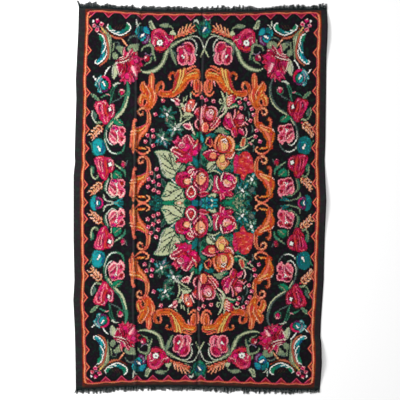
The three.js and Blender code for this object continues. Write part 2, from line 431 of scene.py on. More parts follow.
def corner_berries(pen):
    pen.line([(-106, 180), (-101, 176), (-100, 180)], "mauve", 0.6)
    berry(pen, -102.5, 182, 2.2, (-0.4, 1.5))
    berry(pen, -98.4, 178.8, 2.1, (0, 1.5))
    berry(pen, -105.8, 177.4, 1.8)
    berry(pen, -102.8, 173.2, 2.1, (0, -1.5))
    pen.oval(-106.7, 181.8, 0.9, 1.4, "white")


def corner_rose(pen):
    """Striped petals up and to the left, ragged ones down and to the right, a blush one low in the middle."""
    pen.oval(-84.8, 147, 2.8, 3.8, "sage", turn=20, edge="slate", width=0.6)
    for points in (
        [(-84.4, 155.6), (-80.5, 157.2), (-76, 155.4), (-75.4, 150.6), (-77, 147.2), (-80, 150.4),
         (-82.4, 153)],
        [(-72.6, 154.4), (-69.6, 158.2), (-64, 158.8), (-60.8, 159.2), (-61.8, 153.6), (-64.4, 149.4),
         (-69, 149)],
    ):
        pen.shape(points, "sage", "slate", 0.6)
    pen.shape([(-84, 140.4), (-87, 138), (-88.4, 133), (-88.2, 128), (-86.6, 123.8), (-84.2, 126), (-82, 131),
               (-82.2, 136)], "pale", "slate", 0.6)
    pen.line([(-86.8, 137), (-87.4, 132), (-86.8, 127)], "silver", 0.8, 1.3, 0.9)
    pen.shape([(-77.8, 146.6), (-77.4, 152), (-75.6, 155.8), (-73.8, 151), (-71.4, 151.6), (-67.4, 155),
               (-66.6, 151), (-62.4, 151), (-61.6, 146.4), (-57, 144.4), (-59.4, 141.4), (-56.8, 137.6),
               (-60, 135.4), (-58.8, 131.4), (-62, 129.4), (-62.6, 123), (-65.4, 124.4), (-66.4, 120.6),
               (-68.6, 121.6), (-70, 118), (-72, 121), (-75.6, 117.8), (-76.6, 121.6), (-80.2, 120.8),
               (-78.8, 125.4), (-80.8, 126), (-82.2, 131), (-83, 136.4), (-85, 140.4), (-81.6, 144)],
              "hot", "wine", 0.6)
    pen.line([(-77, 148), (-76, 152), (-75.4, 155)], "pink", 1, 1.3, 0.8)
    pen.shape([(-73.4, 146), (-70.6, 150.4), (-67.8, 153.6), (-67, 150), (-70, 146)], "crimson")
    for points in (
        [(-75, 144.6), (-72, 149), (-68.6, 154.2)],
        [(-72.4, 144.2), (-69, 148.6), (-66.8, 151.4)],
        [(-84.4, 140.2), (-80, 142.8), (-75, 144.6), (-71.6, 148)],
        [(-80.6, 145), (-77, 146.4)],
        [(-84.2, 139.4), (-79.6, 140.6), (-74, 142), (-68, 145.4), (-63.2, 149.6)],
        [(-76.6, 139.6), (-71.6, 141.4), (-67, 144.8)],
        [(-72, 140.4), (-75.4, 137.4), (-77.8, 133), (-80, 127)],
        [(-83.6, 138), (-82.4, 133.4), (-80.8, 128.6)],
    ):
        pen.line(points, "blush" if points[0][0] < -78 else "pink", 0.8, 1.2, 1, 0.7)
    for points in (
        [(-82.6, 141.8), (-78, 142.4), (-73, 144.6), (-69.6, 148.6)],
        [(-81, 139.6), (-79.4, 135), (-80, 130.4)],
        [(-71, 142.4), (-66.6, 146.6), (-63.4, 148)], [(-77.8, 139.4), (-76.6, 135), (-77.6, 130.4)],
    ):
        pen.line(points, "crimson", 0.8, 1.2, 0.9)
    pen.shape([(-75.2, 140), (-71.6, 140.8), (-70.4, 136), (-72.4, 131), (-75, 132.6)], "crimson")
    pen.line([(-73.6, 139.8), (-73, 135), (-74, 131)], "wine", 1, 1.6, 0.8)
    for x, y in ((-57.8, 144), (-57.6, 137.4), (-60, 131.8), (-66, 121.4), (-70, 119), (-75.4, 119),
                 (-79.6, 122)):
        start = (-70 + (x + 70) * 0.4, 134 + (y - 134) * 0.4)
        pen.line([start, (x, y)], "rose", 0.8, 1.6, 0.8)
        pen.line([(start[0] + 1.4, start[1] - 0.8), (x + 1.8, y + 1.6)], "crimson", 0.6, 1.1, 0.5)
    pen.oval(-73, 127, 2.4, 3.2, "magenta")
    pen.oval(-63.4, 142, 2.4, 2.4, "magenta")
    pen.line([(-69.4, 131), (-67.4, 127.6), (-65.2, 124.6)], "wine", 0.8, 1.3, 0.8)
    pen.shape([(-69, 134.6), (-68, 137.4), (-66.2, 136.6), (-64, 131.4), (-63.2, 126), (-65, 128),
               (-67.4, 131.6)], "pink")
    pen.line([(-67.4, 136), (-66.4, 131.6), (-64.4, 127.6)], "blush", 0.8, 1.1, 0.8)
    pen.line([(-65.4, 136.4), (-63.4, 132), (-62.6, 127)], "rose", 0.8, 1, 0.7)


def top_pansy(pen):
    pen.line([(-63.4, 183), (-63.4, 179), (-62, 176.4), (-63.6, 171), (-61.4, 166.8)],
             "turquoise", 1, 1.8, 2, 2.2, 1.2)
    pen.line([(-63.4, 183), (-63, 178.4), (-62.6, 175.6)], "silver", 1, 1.4, 0.8)
    pen.line([(-62.4, 177.4), (-59.4, 179.8)], "silver", 1.2, 0.8)
    pen.line([(-72, 162), (-69.6, 165.6), (-65.4, 167), (-61, 164.6)], "slate", 1, 1.4, 1.6, 1)
    pen.shape([(-62.4, 174), (-59.6, 177.4), (-57, 176), (-57.4, 172), (-60, 169), (-62.6, 170.6)],
              "teal", "pine", 0.8)
    pen.shape([(-56.4, 175), (-53.6, 176), (-51, 172.4), (-51, 168.6), (-54, 169), (-56.4, 171)],
              "turquoise", "blue", 1)
    pen.shape([(-54, 168.6), (-50.8, 167.6), (-51, 163), (-54.6, 159), (-58, 160.4), (-56.4, 164)], "purple")
    pen.line([(-52.6, 167), (-52.4, 163.4), (-55.4, 160.6)], "mauve", 0.8, 1.2, 0.9)
    pen.shape([(-62, 168), (-58.8, 171), (-55, 169.6), (-54, 165.6), (-57, 162.4), (-61, 163.6)], "blue")
    pen.line([(-60.4, 164.6), (-58, 162.8), (-55.4, 165.4)], "turquoise", 1.4, 2.2, 2)
    pen.line([(-59.2, 170), (-56.4, 171)], "pine", 1.2, 1.2)
    pen.line([(-59, 166.6), (-56.4, 168.4)], "white", 2, 2)


def top_leaves(pen):
    pen.shape([(-51, 181.4), (-48.6, 182.4), (-46.4, 178), (-44, 174.6), (-47, 172.8), (-50, 175),
               (-50.6, 178)], "pale", "slate", 0.7)
    pen.line([(-49.4, 179.6), (-47.4, 175)], "sage", 1.4, 1)


def grey_leaf(pen):
    pen.shape([(-40.6, 177.4), (-36.6, 179.4), (-32.6, 179.4), (-29.6, 177), (-33.6, 175.4),
               (-37.4, 175.6)], "sage", "slate", 0.6)
    pen.line([(-31, 176.8), (-28, 175.6), (-26.6, 172.4)], "sage", 1.4, 1.2, 1)
    pen.shape([(-30.6, 167.6), (-29.4, 171), (-27, 173), (-24.4, 169), (-24, 167), (-27.6, 168.4)], "pale")


def crimson_rose(pen):
    """Round its white eye, with petals in rings."""
    pen.line([(-47.6, 166), (-50, 163.4), (-50.2, 160), (-48.4, 158)], "sage", 1, 1.4, 1)
    pen.shape([(-48.6, 168), (-47, 172.6), (-42, 174.6), (-36.6, 173), (-32.6, 169), (-30, 168), (-27, 167),
               (-26.4, 162.6), (-29, 160.4), (-31.4, 156), (-36, 151.6), (-42, 151), (-46, 155),
               (-48.6, 160)], "hot")
    pen.line([(-46.4, 168), (-44, 171.6), (-40, 173), (-36.6, 170.6), (-34, 167)],
             "rose", 1.6, 3, 2.8, 2, 1.2)
    pen.line([(-44.6, 169.4), (-41, 168.4), (-38.6, 165.6), (-36.6, 162.4)], "crimson", 1, 2.4, 2.4, 1.2)
    pen.line([(-46.6, 165.6), (-44, 165.4), (-42, 163.8)], "pink", 1, 1.4, 1)
    pen.line([(-45.8, 163), (-46.6, 159.6), (-45.2, 156.4)], "pink", 1.2, 1.8, 1)
    pen.line([(-44.4, 155.6), (-41, 153.4), (-37.6, 153.4), (-34.6, 156)], "scarlet", 1.6, 2.6, 2.6, 1.4)
    pen.line([(-43, 151.6), (-38, 151.6), (-34, 153.4)], "wine", 0.8, 1.2, 0.8)
    pen.oval(-33.4, 161.4, 2.2, 3.4, "magenta")
    pen.line([(-34, 166.4), (-31, 163.8), (-27.6, 162.4)], "pink", 1, 1.8, 1)
    pen.oval(-30.6, 166, 1.8, 1.6, "crimson")
    pen.oval(-37, 156.8, 1.2, 1, "wine")
    pen.oval(-43.4, 157, 1.2, 1, "wine")
    pen.dot(-40.2, 160.2, 2.9, "white")
    pen.dot(-40, 160.6, 1, "slate")


def wheat(pen):
    """An ear: a thin stalk, then grains that stand up from it like a comb."""
    pen.line([(-27.4, 163), (-24.4, 165.6), (-21.6, 167.4)], "salmon", 1.4, 2, 2)
    pen.line([(-23, 166.2), (-17, 169), (-11.4, 172), (-6, 173.6)], "burnt", 1.6, 3.6, 3.4, 1)
    pen.line([(-22.4, 167), (-17, 170), (-12, 172.8), (-8, 174.4)], "apricot", 1.2, 2.6, 2.4, 1)
    for x, y, tip_x, tip_y in (
        (-21.4, 167, -20, 174), (-18, 169.4, -17, 176), (-14.8, 171.4, -13, 178.2), (-11.8, 172.8, -9, 179.2),
        (-9.4, 173.4, -5.4, 177.6),
    ):
        pen.line([(x, y), ((x + tip_x) / 2 - 0.4, (y + tip_y) / 2), (tip_x, tip_y)], "apricot", 1.5, 1.3, 0.9)
        pen.line([(x, y), ((x + tip_x) / 2, (y + tip_y) / 2)], "salmon", 0.8, 0.8)
    for x, y in ((-18.6, 168), (-15, 169.4), (-11.4, 171), (-8, 172.2)):
        pen.line([(x, y), (x + 2.6, y - 0.8)], "salmon", 1.6, 1)


def top_stem(pen):
    """The thick stem that carries the corner bud, the roses and the loop at the middle."""
    thick = [(-59, 133), (-56.6, 131), (-51, 130.8), (-44, 133.4), (-38.4, 138.4), (-35.4, 144), (-33.6, 150),
             (-30.6, 155), (-26, 158.6), (-20, 162), (-13, 165), (-7.4, 166.6)]
    pen.line(thick, "pine", 1.6, 4.8, 5.6, 5.4, 5.2, 5.4, 5, 5, 4.4, 3.4, 2.4, 1.4)
    pen.line(thick, "sage", 1, 3.2, 4.2, 4, 3.8, 4, 3.8, 4, 3.4, 2.4, 1.6, 1)
    pen.line(thick[:9], "pale", 0.6, 1.8, 2.4, 2.2, 1.6, 2, 1.4, 1.6)
    pen.line(thick[8:12], "pale", 1, 1.6, 0.8)
    pen.line([(-31, 156), (-28.6, 151), (-26.4, 145), (-24, 138.6)], "sage", 2, 2.8, 2.6, 1.4)
    pen.line([(-30.6, 155), (-29.6, 149), (-28, 143.6)], "slate", 0.8, 1.2, 0.8)
    pen.line([(-27.4, 152), (-24.6, 149), (-23.8, 145)], "slate", 1, 1.4, 0.8)
    pen.line([(-10, 168), (-6, 170.6), (-3.4, 173)], "sage", 0.8, 1, 0.8)
    pen.line([(-6, 181), (-4.2, 182.6), (-2.2, 181.2), (-1.8, 179.4)], "silver", 1, 2, 1.8, 0.8)
    pen.line([(-6.4, 180.6), (-6.2, 177.6), (-5, 175)], "slate", 0.8, 1, 0.8)


def top_loop(pen):
    """The thin pale loop round the pink rose."""
    pen.line([(-13, 164.2), (-8.4, 164.2), (-5.4, 161.8), (-3.4, 157.6), (-3.6, 152.6), (-5.2, 150),
              (-3, 147.6)], "silver", 0.8, 1, 1.1, 1.2, 1.2, 1, 0.9)


def top_middle(pen):
    """The dark teal flower at the middle, and the two thin stems that cross below it."""
    pen.shape([(-1.4, 176), (0.6, 181), (4, 182.4), (8, 181.6), (10.8, 177), (10.6, 171), (7.6, 166.6),
               (4.6, 165), (1, 167), (-1.6, 171)], "teal", "deep", 1)
    pen.oval(2.6, 179.4, 2.2, 2, "sea")
    pen.line([(-0.4, 176), (0.2, 171.6), (2, 168)], "deep", 1.6, 2, 1.2)
    pen.line([(2.4, 168), (5, 166.6), (7.8, 169)], "emerald", 1.6, 2.4, 1.6)
    pen.oval(4.8, 174.4, 3.8, 3.2, "blue")
    pen.oval(5.6, 176, 2.4, 1.2, "teal")
    pen.line([(8.8, 179), (9.6, 174.6)], "emerald", 1.6, 1.6)
    pen.line([(3, 171.8), (5.6, 175.2)], "white", 1.5, 1.6)
    pen.line([(-4, 178.6), (-2.4, 176), (-1, 174.4)], "emerald", 0.8, 1.2, 0.9)
    for out in (-1, 1):
        pen.line([(4.4 + out * 12, 167), (4.4 + out * 6.4, 165.8), (4.4 + out * 3.4, 162.4),
                  (4.4 + out * 1.6, 158), (4.4, 154)], "silver", 0.8, 1, 1, 1.1, 1.3)
        pen.line([(4.4, 154), (4.4 + out * 1.8, 150.4), (4.4 + out * 4, 146)], "pale", 1.3, 1.4, 1)


def pink_rose(pen):
    """Seen from the side: upright petals with light rims."""
    pen.shape([(-22.4, 153.6), (-20.4, 156), (-17, 156.4), (-15.6, 159.6), (-11, 160.4), (-7.4, 157.6),
               (-5.6, 153), (-6.4, 149), (-4.8, 144.6), (-6, 140.4), (-9.6, 138.2), (-13, 139.6),
               (-16.6, 138), (-20.4, 139.6), (-22.4, 144), (-21.4, 149)], "rose", "pink", 1.2)
    pen.shape([(-20.8, 153.6), (-17.6, 154.6), (-17, 150), (-18.6, 145.6), (-20.8, 148)], "hot")
    pen.shape([(-15, 158), (-10.6, 158.4), (-8, 155), (-9, 150.6), (-12, 152), (-14.6, 154)], "hot")
    pen.line([(-16.8, 159), (-18.4, 157.4)], "purple", 1.6, 1)
    pen.line([(-12, 157.4), (-9.4, 156), (-8.4, 152)], "crimson", 1, 1.6, 1)
    pen.line([(-16.4, 154), (-14, 149.6), (-12.6, 144), (-14, 140.6)], "pink", 1.4, 2.4, 2.2, 1.4)
    pen.line([(-9, 149), (-8, 145), (-9.4, 141)], "pink", 1.4, 2.2, 1.4)
    pen.oval(-18.4, 143, 2, 2.6, "crimson")
    pen.line([(-10.8, 147), (-10.4, 142)], "crimson", 1, 1.4)
    pen.line([(-18, 147.4), (-16.4, 146), (-16.6, 144.6)], "white", 1.2, 1.8, 1)


def top_bud(pen):
    pen.line([(-58.4, 152), (-57, 155.4), (-53.6, 157), (-49.6, 157.8), (-47.4, 155), (-47, 150),
              (-45.4, 146), (-44.6, 142.6)], "sage", 1.2, 1.6, 2, 2.6, 2.4, 2.4, 2, 1)
    pen.line([(-55, 150.6), (-53.4, 148.6), (-50.6, 147.6), (-48.6, 149)], "mauve", 0.8, 1.2, 1)
    pen.line([(-46.6, 147), (-46.6, 143.4)], "deep", 1.4, 1.4)
    pen.line([(-48.6, 145), (-50, 141), (-53.6, 139.2), (-55.2, 137.4)], "sage", 1.6, 1.6, 1.2, 0.8)
    pen.oval(-53, 144.4, 3, 3.2, "rose")
    pen.oval(-52.4, 143.8, 2, 2.3, "crimson")
    pen.oval(-54.4, 145.6, 1, 0.9, "blush")


def side_pansy(pen):
    """Turquoise at the outer side, magenta at the inner, round a turquoise disc with a white eye."""
    for points in ([(-107, 127), (-105, 124.4), (-102.8, 121.4)],
                   [(-95.4, 127.6), (-93.6, 132), (-90.2, 136.4)]):
        pen.line(points, "white", 0.9, 1.5, 1)
    pen.shape([(-98, 127.6), (-101.8, 125.6), (-104, 122), (-105.2, 118), (-102.8, 115.4), (-102, 111.4),
               (-99, 110.2), (-96.8, 112), (-97.6, 119)], "turquoise")
    pen.line([(-99.6, 126), (-102.4, 123), (-104, 118)], "silver", 0.8, 1.1, 0.8)
    pen.line([(-101.6, 113.6), (-99.4, 111.4)], "silver", 0.9, 0.9)
    pen.line([(-103, 120), (-101.4, 116.6), (-100.8, 113)], "teal", 0.9, 1.3, 0.8)
    pen.line([(-97.6, 126.4), (-93.6, 125.2), (-90.8, 121), (-90.8, 116), (-93.8, 112.4), (-97.4, 111.6)],
             "hot", 2, 2.8, 2.8, 2.4, 2, 1.2)
    pen.line([(-92, 114), (-95, 111.8), (-98, 112.4)], "purple", 1.4, 1.6, 1)
    pen.line([(-99.4, 124), (-100.6, 118.6), (-98.8, 113.6)], "mauve", 0.9, 1.9, 1.1)
    pen.oval(-95.6, 118, 3.8, 4.6, "turquoise", edge="teal", width=0.8)
    pen.line([(-93.6, 121.4), (-92.8, 117.6), (-94.4, 114.6)], "emerald", 0.9, 1.4, 0.9)
    pen.line([(-97.2, 120.8), (-95.2, 117.6)], "white", 1.4, 1.7)


def side_sprigs(pen):
    """The leaf, the sprig, the blade and the bud between the corner rose and the column of flowers."""
    pen.shape([(-108.6, 109), (-105, 108), (-102, 104.4), (-100, 101.6), (-103.6, 103.4), (-106.6, 106)],
              "sea", "sage", 1)
    pen.line([(-99, 105.4), (-95.6, 107.4), (-91, 108.6)], "sea", 1, 1.6, 1.6)
    pen.line([(-93.4, 108.8), (-90.4, 108)], "pink", 1, 1)
    pen.line([(-90, 100), (-88.6, 105), (-88, 111), (-85.6, 116), (-83.4, 118.8)], "sea", 1, 1.6, 3.4, 2.6, 2)
    pen.line([(-88.4, 106), (-88, 111), (-86, 115.4)], "deep", 1.2, 2.2, 1.2)
    pen.line([(-86, 117.4), (-83, 119.6), (-80, 119.6)], "silver", 2, 2, 1)
    pen.line([(-88, 100.6), (-84, 102.6), (-80, 104.4), (-78.4, 106.6)], "slate", 0.9, 1.2, 1)
    bud(pen, -78, 110.6)


SIDE_STEMS = (
    [(-72.6, 120.6), (-71.6, 113), (-72.6, 107), (-75.4, 98), (-78.8, 91.6), (-83.4, 87), (-87.6, 82),
     (-91.8, 76.6), (-94.2, 70.6), (-95, 64), (-93.6, 58.6), (-91.4, 53.6), (-87.6, 50.2), (-83, 49.4),
     (-79, 50.8), (-76.4, 54), (-75.2, 59)],
    [(73, 124.4), (70.2, 116.6), (70.6, 108.6), (73.4, 100.6), (78.8, 94.4), (85.6, 90), (91, 85.6),
     (95, 78.6), (97.6, 71), (98.4, 63.4), (97, 57.6), (94, 53.4), (89.6, 51.2), (85.4, 51.8), (82, 54.4),
     (80, 58), (79.4, 62)],
)


def side_stem(points, size, yarn):
    """The stem that comes down the column and hooks round the pink rose in two loops."""
    pen = Pen()
    out = 1 if points[0][0] > 0 else -1
    widths = np.array([1.6, 3, 4, 4.2, 4, 3.6, 3.2, 3.2, 2.8, 2.2, 1.8, 1.8, 1.8, 2, 1.6, 1]) * size
    pen.line(points, "pine", *(widths + 1))
    pen.line(points, yarn, *widths)
    inner = [(x - out * 0.9, y - 0.5) for x, y in points]
    pen.line(inner[2:8], "pale", size, 2.2 * size, 2.4 * size, 2 * size, 1.6 * size)
    pen.line([(x + out * 0.3, y) for x, y in points[9:14]], "silver", 0.7, 0.9, 1, 1.1, 0.8)
    pen.line([(x + out * 0.3, y) for x, y in points[11:14]], "white", 0.6, 0.9, 0.6)
    x, y = points[9]
    hook = [(x - out * 1.8, y + 9), (x - out * 1.2, y + 5), (x - out * 2, y), (x - out * 4.4, y - 4),
            (x - out * 7.4, y - 5.8), (x - out * 10, y - 4.6)]
    pen.line(hook, "pine", 2, 2.4, 2.6, 2.6, 2.2)
    pen.line(hook, "silver", 0.7, 0.9, 1, 1.1, 0.9)
    pen.line(hook[2:5], "white", 0.5, 0.8, 0.6)
    x, y = points[6]
    tip = (x - out * 11.4, y - 3.6)
    pen.leaf((x - out * 0.4, y + 0.6), tip, 6.6, "emerald", "deep", line=0.8)
    pen.line([(x - out * 4, y + 2), (x - out * 7, y - 1), (x - out * 10, y - 3)], "sage", 1, 1.2, 0.8)


def tulip_rose(pen):
    """A rose seen from the side: a folded bloom on the left and a ring on the right, above one tip."""
    pen.shape([(-106, 97), (-104.6, 100.6), (-101.6, 101.4), (-97, 102.6), (-94.4, 102.4), (-92.4, 99.4),
               (-90.8, 97.4), (-88.8, 99), (-86, 98.6), (-85.2, 95), (-85.4, 88.4), (-87, 86), (-90, 83.4),
               (-91.6, 80.6), (-94.6, 78.4), (-97.6, 80.4), (-100.6, 85), (-101.6, 88.6), (-103.4, 93)],
              "hot")
    pen.line([(-104.6, 98.6), (-103.6, 94), (-101.6, 90), (-99.6, 86)], "rose", 1.8, 2, 1.6, 1.4)
    pen.line([(-102.6, 93.6), (-102.6, 97.4), (-100.6, 100), (-98.4, 98.8)], "pink", 0.7, 1, 1.1, 0.8)
    pen.line([(-97.4, 101.2), (-95.4, 101), (-94.2, 98.6)], "pink", 1.1, 1.4, 0.9)
    pen.line([(-99.6, 98.6), (-100.6, 95.4), (-99.4, 91.8)], "wine", 0.8, 1.5, 1)
    pen.line([(-100, 96), (-99.6, 93.4)], "mauve", 0.6, 0.6)
    pen.line([(-97.6, 98.4), (-98, 94), (-97, 89.6), (-95.4, 86)], "pink", 0.8, 1.1, 1.1, 0.8)
    pen.line([(-96.6, 94), (-95.8, 90), (-94, 86.4)], "crimson", 0.6, 0.8, 0.6)
    pen.line([(-95.8, 98), (-95, 93), (-93, 88.4), (-90.8, 85)], "scarlet", 1.6, 2.4, 2, 1)
    pen.line([(-92.6, 96.4), (-92.4, 92), (-90.6, 88.6)], "wine", 0.8, 1.1, 0.8)
    pen.line([(-91.2, 94.6), (-89.8, 97.4), (-87.4, 97.4), (-86.6, 94), (-86.8, 90), (-88, 87.2)],
             "pink", 0.9, 1.3, 1.3, 1.2, 1.3, 1)
    pen.oval(-88.8, 91.4, 1.3, 1.7, "crimson")
    pen.line([(-98.8, 86.4), (-96.4, 83.6)], "magenta", 1.4, 1.2)
    pen.line([(-96.2, 84.6), (-94.6, 81)], "pink", 0.9, 1.1)
    pen.line([(-92.4, 85.6), (-93, 81.8)], "pink", 0.8, 0.9)
    pen.shape([(-91.4, 93.4), (-90.4, 95.8), (-89.2, 94.8), (-89, 92.6), (-90.2, 91.8)], "white")


def bracket(pen):
    """The leaf that curls round under the tulip rose."""
    pen.shape([(-107.4, 91.6), (-104.4, 89.4), (-103.6, 86), (-105, 84)], "slate", "sea", 0.7)
    pen.line([(-107.4, 92.4), (-108, 88), (-107, 84.6), (-105, 81.4), (-102.4, 79.6)],
             "silver", 0.9, 1.2, 1.1, 1.3, 1.1)
    pen.line([(-103.4, 79.4), (-100.6, 80.6), (-98.4, 80.6)], "sage", 1.3, 2.2, 1.4)


def side_wheat(pen):
    """An ear hanging outward from the column's stem, with open barbs on both sides."""
    stalk = curve([(-96.6, 77.6), (-100.6, 74.4), (-104.6, 70.4), (-108.8, 64.6)])
    pen.line(stalk, "burnt", 1.6, 2.6, 2.4, 1.2)
    pen.line(stalk, "apricot", 0.9, 1.5, 1.5, 0.9)
    pen.line(stalk[:8], "scarlet", 1.2, 0.8, 0.6)
    for step in range(3, len(stalk) - 1, 4):
        x, y = stalk[step]
        pen.line([(x, y), (x - 2.4, y + 1.5), (x - 4.6, y + 1.2)], "apricot", 1.4, 1.2, 0.7)
        pen.line([(x, y), (x + 0.8, y - 2.4), (x + 0.2, y - 4.8)], "apricot", 1.3, 1.1, 0.7)
        pen.line([(x - 3.4, y + 0.6), (x - 5.2, y + 0.2)], "blush", 0.7, 0.7)
        pen.line([(x - 0.2, y - 3), (x - 0.8, y - 5)], "blush", 0.7, 0.7)


def side_rose(pen):
    """A pink rose seen from above, with a petal at each corner and a pale rim below."""
    pen.shape([(-90.6, 67), (-89.6, 71), (-88.8, 74.8), (-87, 77), (-84, 77.2), (-81.4, 76), (-77, 75.8),
               (-75, 73.4), (-75.4, 70.6), (-77.2, 68.4), (-75.2, 66), (-75, 62), (-76.6, 59.4),
               (-79.2, 57.6), (-80.6, 60.2), (-83.4, 60.6), (-85.4, 58.8), (-88.2, 60.6), (-90.4, 63.6)],
              "rose", "pink", 1)
    pen.oval(-85.4, 74.2, 3, 2, "magenta")
    pen.oval(-86.2, 74.6, 1.5, 1.1, "purple")
    pen.line([(-88.2, 72.6), (-86, 71.6), (-84, 73)], "pink", 0.8, 0.9, 0.7)
    for y in (72.2, 63.2):
        pen.oval(-78.2, y, 1.7, 1.9, "crimson")
        pen.line([(-80.2, y + 0.6), (-79.6, y - 1.6), (-77.6, y - 2.4)], "pink", 0.8, 1, 0.8)
    pen.line([(-89, 68.6), (-86.6, 66), (-84, 63)], "pink", 1.2, 2, 1.4)
    pen.line([(-88.8, 70.4), (-85.6, 68.4), (-83, 65.6)], "hot", 0.9, 1.3, 0.9)
    pen.line([(-82.6, 67.4), (-82, 64.4), (-82.8, 61.8)], "blush", 0.9, 1.2, 0.8)
    pen.line([(-81, 69), (-79.6, 67.4), (-77.6, 67.4)], "magenta", 0.8, 1, 0.7)
    pen.line([(-90, 64.4), (-87.6, 61.4), (-85.2, 60), (-83, 61.2), (-80.6, 61), (-79.4, 58.6), (-77, 60.6),
              (-75.8, 63.6)], "blush", 0.8, 1, 1.1, 0.8, 0.9, 1, 1, 0.8)
    pen.line([(-84.8, 71.8), (-83.6, 71), (-82.2, 72.4)], "white", 0.9, 1.3, 0.9)
    pen.line([(-83.2, 70.4), (-82.6, 68.8)], "white", 1.1, 0.9)


def teal_flower(pen):
    pen.shape([(-107.6, 58), (-106.4, 62), (-102, 64.4), (-97.4, 62.4), (-95, 57), (-95.4, 51), (-98.6, 48),
               (-103.6, 47.4), (-107, 51)], "turquoise", "teal", 1.2)
    pen.line([(-97.2, 60), (-96.6, 55), (-98, 50.6)], "blue", 1, 1.6, 1)
    pen.line([(-110.6, 61), (-108.6, 58), (-108, 54)], "sea", 0.8, 1.2, 0.8)
    pen.line([(-104, 51.6), (-101.6, 49.6), (-99.6, 51)], "teal", 0.8, 1, 0.6)
    pen.line([(-102, 56.4), (-100, 52.8)], "white", 1.3, 2)


def lower_rose(pen):
    """The crimson rose low in the column, folded on the left with its eye at its inner side."""
    pen.shape([(-106, 42.6), (-105, 45), (-101.6, 46.6), (-98, 47), (-93, 45.6), (-90, 45.2), (-86.6, 42.4),
               (-85.8, 39), (-86, 34.6), (-88, 31.4), (-91, 30), (-92, 27), (-94, 23), (-97, 23.6),
               (-100.6, 27), (-102.4, 31), (-103, 35), (-104.8, 39)], "hot")
    pen.line([(-105, 42.6), (-103.6, 38.6), (-101.6, 34)], "rose", 1.6, 1.8, 1.4)
    pen.line([(-103.4, 44.6), (-100, 45.6), (-97.2, 43.6)], "pink", 0.8, 1.1, 0.8)
    pen.line([(-101.8, 42.4), (-101, 37), (-99.6, 32.6)], "pink", 0.9, 1.1, 0.8)
    pen.line([(-100.2, 42), (-99.6, 37.4)], "wine", 0.9, 1)
    pen.line([(-98.6, 42), (-98.2, 36.6), (-96.8, 31)], "pink", 0.8, 1.2, 0.9)
    pen.line([(-97, 40.4), (-96.8, 35)], "wine", 0.7, 0.8)
    pen.line([(-95.2, 44.6), (-94.2, 38), (-93, 32.4), (-94.6, 26.6)], "scarlet", 1.6, 2.4, 2.2, 1.4)
    pen.line([(-92.4, 42.6), (-92.4, 38), (-91, 34.4)], "wine", 0.7, 0.9, 0.7)
    pen.line([(-91.4, 42.4), (-89.6, 43.6), (-87.4, 41.6), (-86.8, 37.6), (-88, 33.6)],
             "pink", 0.8, 1.1, 1.2, 1.1, 0.9)
    pen.line([(-90.6, 35.6), (-89, 33.4)], "crimson", 1, 0.8)
    pen.line([(-101.4, 30.6), (-99, 27.6)], "magenta", 1.6, 1.2)
    pen.line([(-97.6, 28.4), (-96, 25)], "pink", 0.8, 0.8)
    pen.oval(-89.9, 38.7, 1.7, 2.1, "white")


def lower_sprigs(pen):
    """Leaves and the bud beside the lower rose."""
    pen.line([(-85.6, 39), (-82, 36.6), (-78.4, 34), (-75.4, 31.4), (-74.6, 26.6)], "sea", 1, 1.6, 3, 2, 0.8)
    pen.line([(-85, 38.6), (-81.6, 36), (-79, 34)], "pale", 0.8, 1, 0.7)
    pen.shape([(-87, 29), (-84, 33), (-79.6, 30.6), (-78, 26.6), (-82, 24.4), (-87, 24.8)],
              "emerald", "deep", 1)
    pen.line([(-84.4, 29.4), (-81.6, 27), (-79, 25)], "sage", 1, 1.2, 0.8)
    pen.line([(-88.4, 30.4), (-88.6, 25.6)], "pale", 0.9, 1.2)
    pen.line([(-72.6, 42), (-74.4, 37.6), (-75.8, 35.6)], "slate", 0.9, 1.1, 0.8)
    pen.oval(-76.8, 38.6, 2.2, 3.2, "pink")
    pen.oval(-77, 38.4, 1.5, 2, "hot")
    pen.shape([(-109, 37), (-106.2, 36), (-105.8, 31.6), (-107.6, 28.6), (-109.8, 31)], "sea", "deep", 0.7)
    pen.line([(-108.6, 35), (-108.6, 29), (-106.8, 25.6), (-104.4, 24.4), (-102.2, 26.8)],
             "pale", 0.9, 1.3, 1.4, 1.5, 2)
    pen.line([(-103, 25), (-101.6, 27.4)], "sage", 1.6, 1.4)


def lower_stem(pen):
    """The stem that hooks under the lower pink rose, and the two that cross on the mirror line."""
    pen.line([(-91, 24.6), (-94, 19.6), (-94.8, 13.6), (-93, 9.6)], "sea", 1.2, 2.2, 2.2, 1)
    hook = [(-91.6, 22.6), (-93.4, 17.6), (-93.8, 12.8), (-92, 9.4), (-89.4, 6.6), (-87, 5.6), (-84.6, 6.8)]
    pen.line(hook, "pine", 1.8, 2.2, 2.2, 2.2, 2.2, 2.2, 1.6)
    pen.line(hook, "silver", 0.8, 1.1, 1.1, 1.2, 1.2, 1.1, 0.8)
    pen.line([(-96.2, 8), (-95.4, 4.4), (-93, 2.2), (-90, 1.6), (-87.4, 0.8), (-84.6, -0.4)],
             "silver", 0.9, 1.2, 1.3, 1.1, 1.1, 1)
    pen.line([(-96.6, 6.4), (-96.2, 4)], "sage", 1, 1)
    pen.line([(-87.6, 4), (-84, 4.8), (-81, 4.2)], "deep", 1, 1.8, 1.2)
    pen.line([(-85.4, 0.6), (-82.6, 1.8), (-80, 3.4), (-77.8, 4.6)], "turquoise", 1.2, 1.5, 1.3, 0.9)
    pen.line([(-81, 0.6), (-78.4, 1.6), (-77, 1)], "teal", 1.6, 2, 1.4)
    pen.line([(-84.6, 0), (-82, 0.6)], "sage", 1, 0.8)


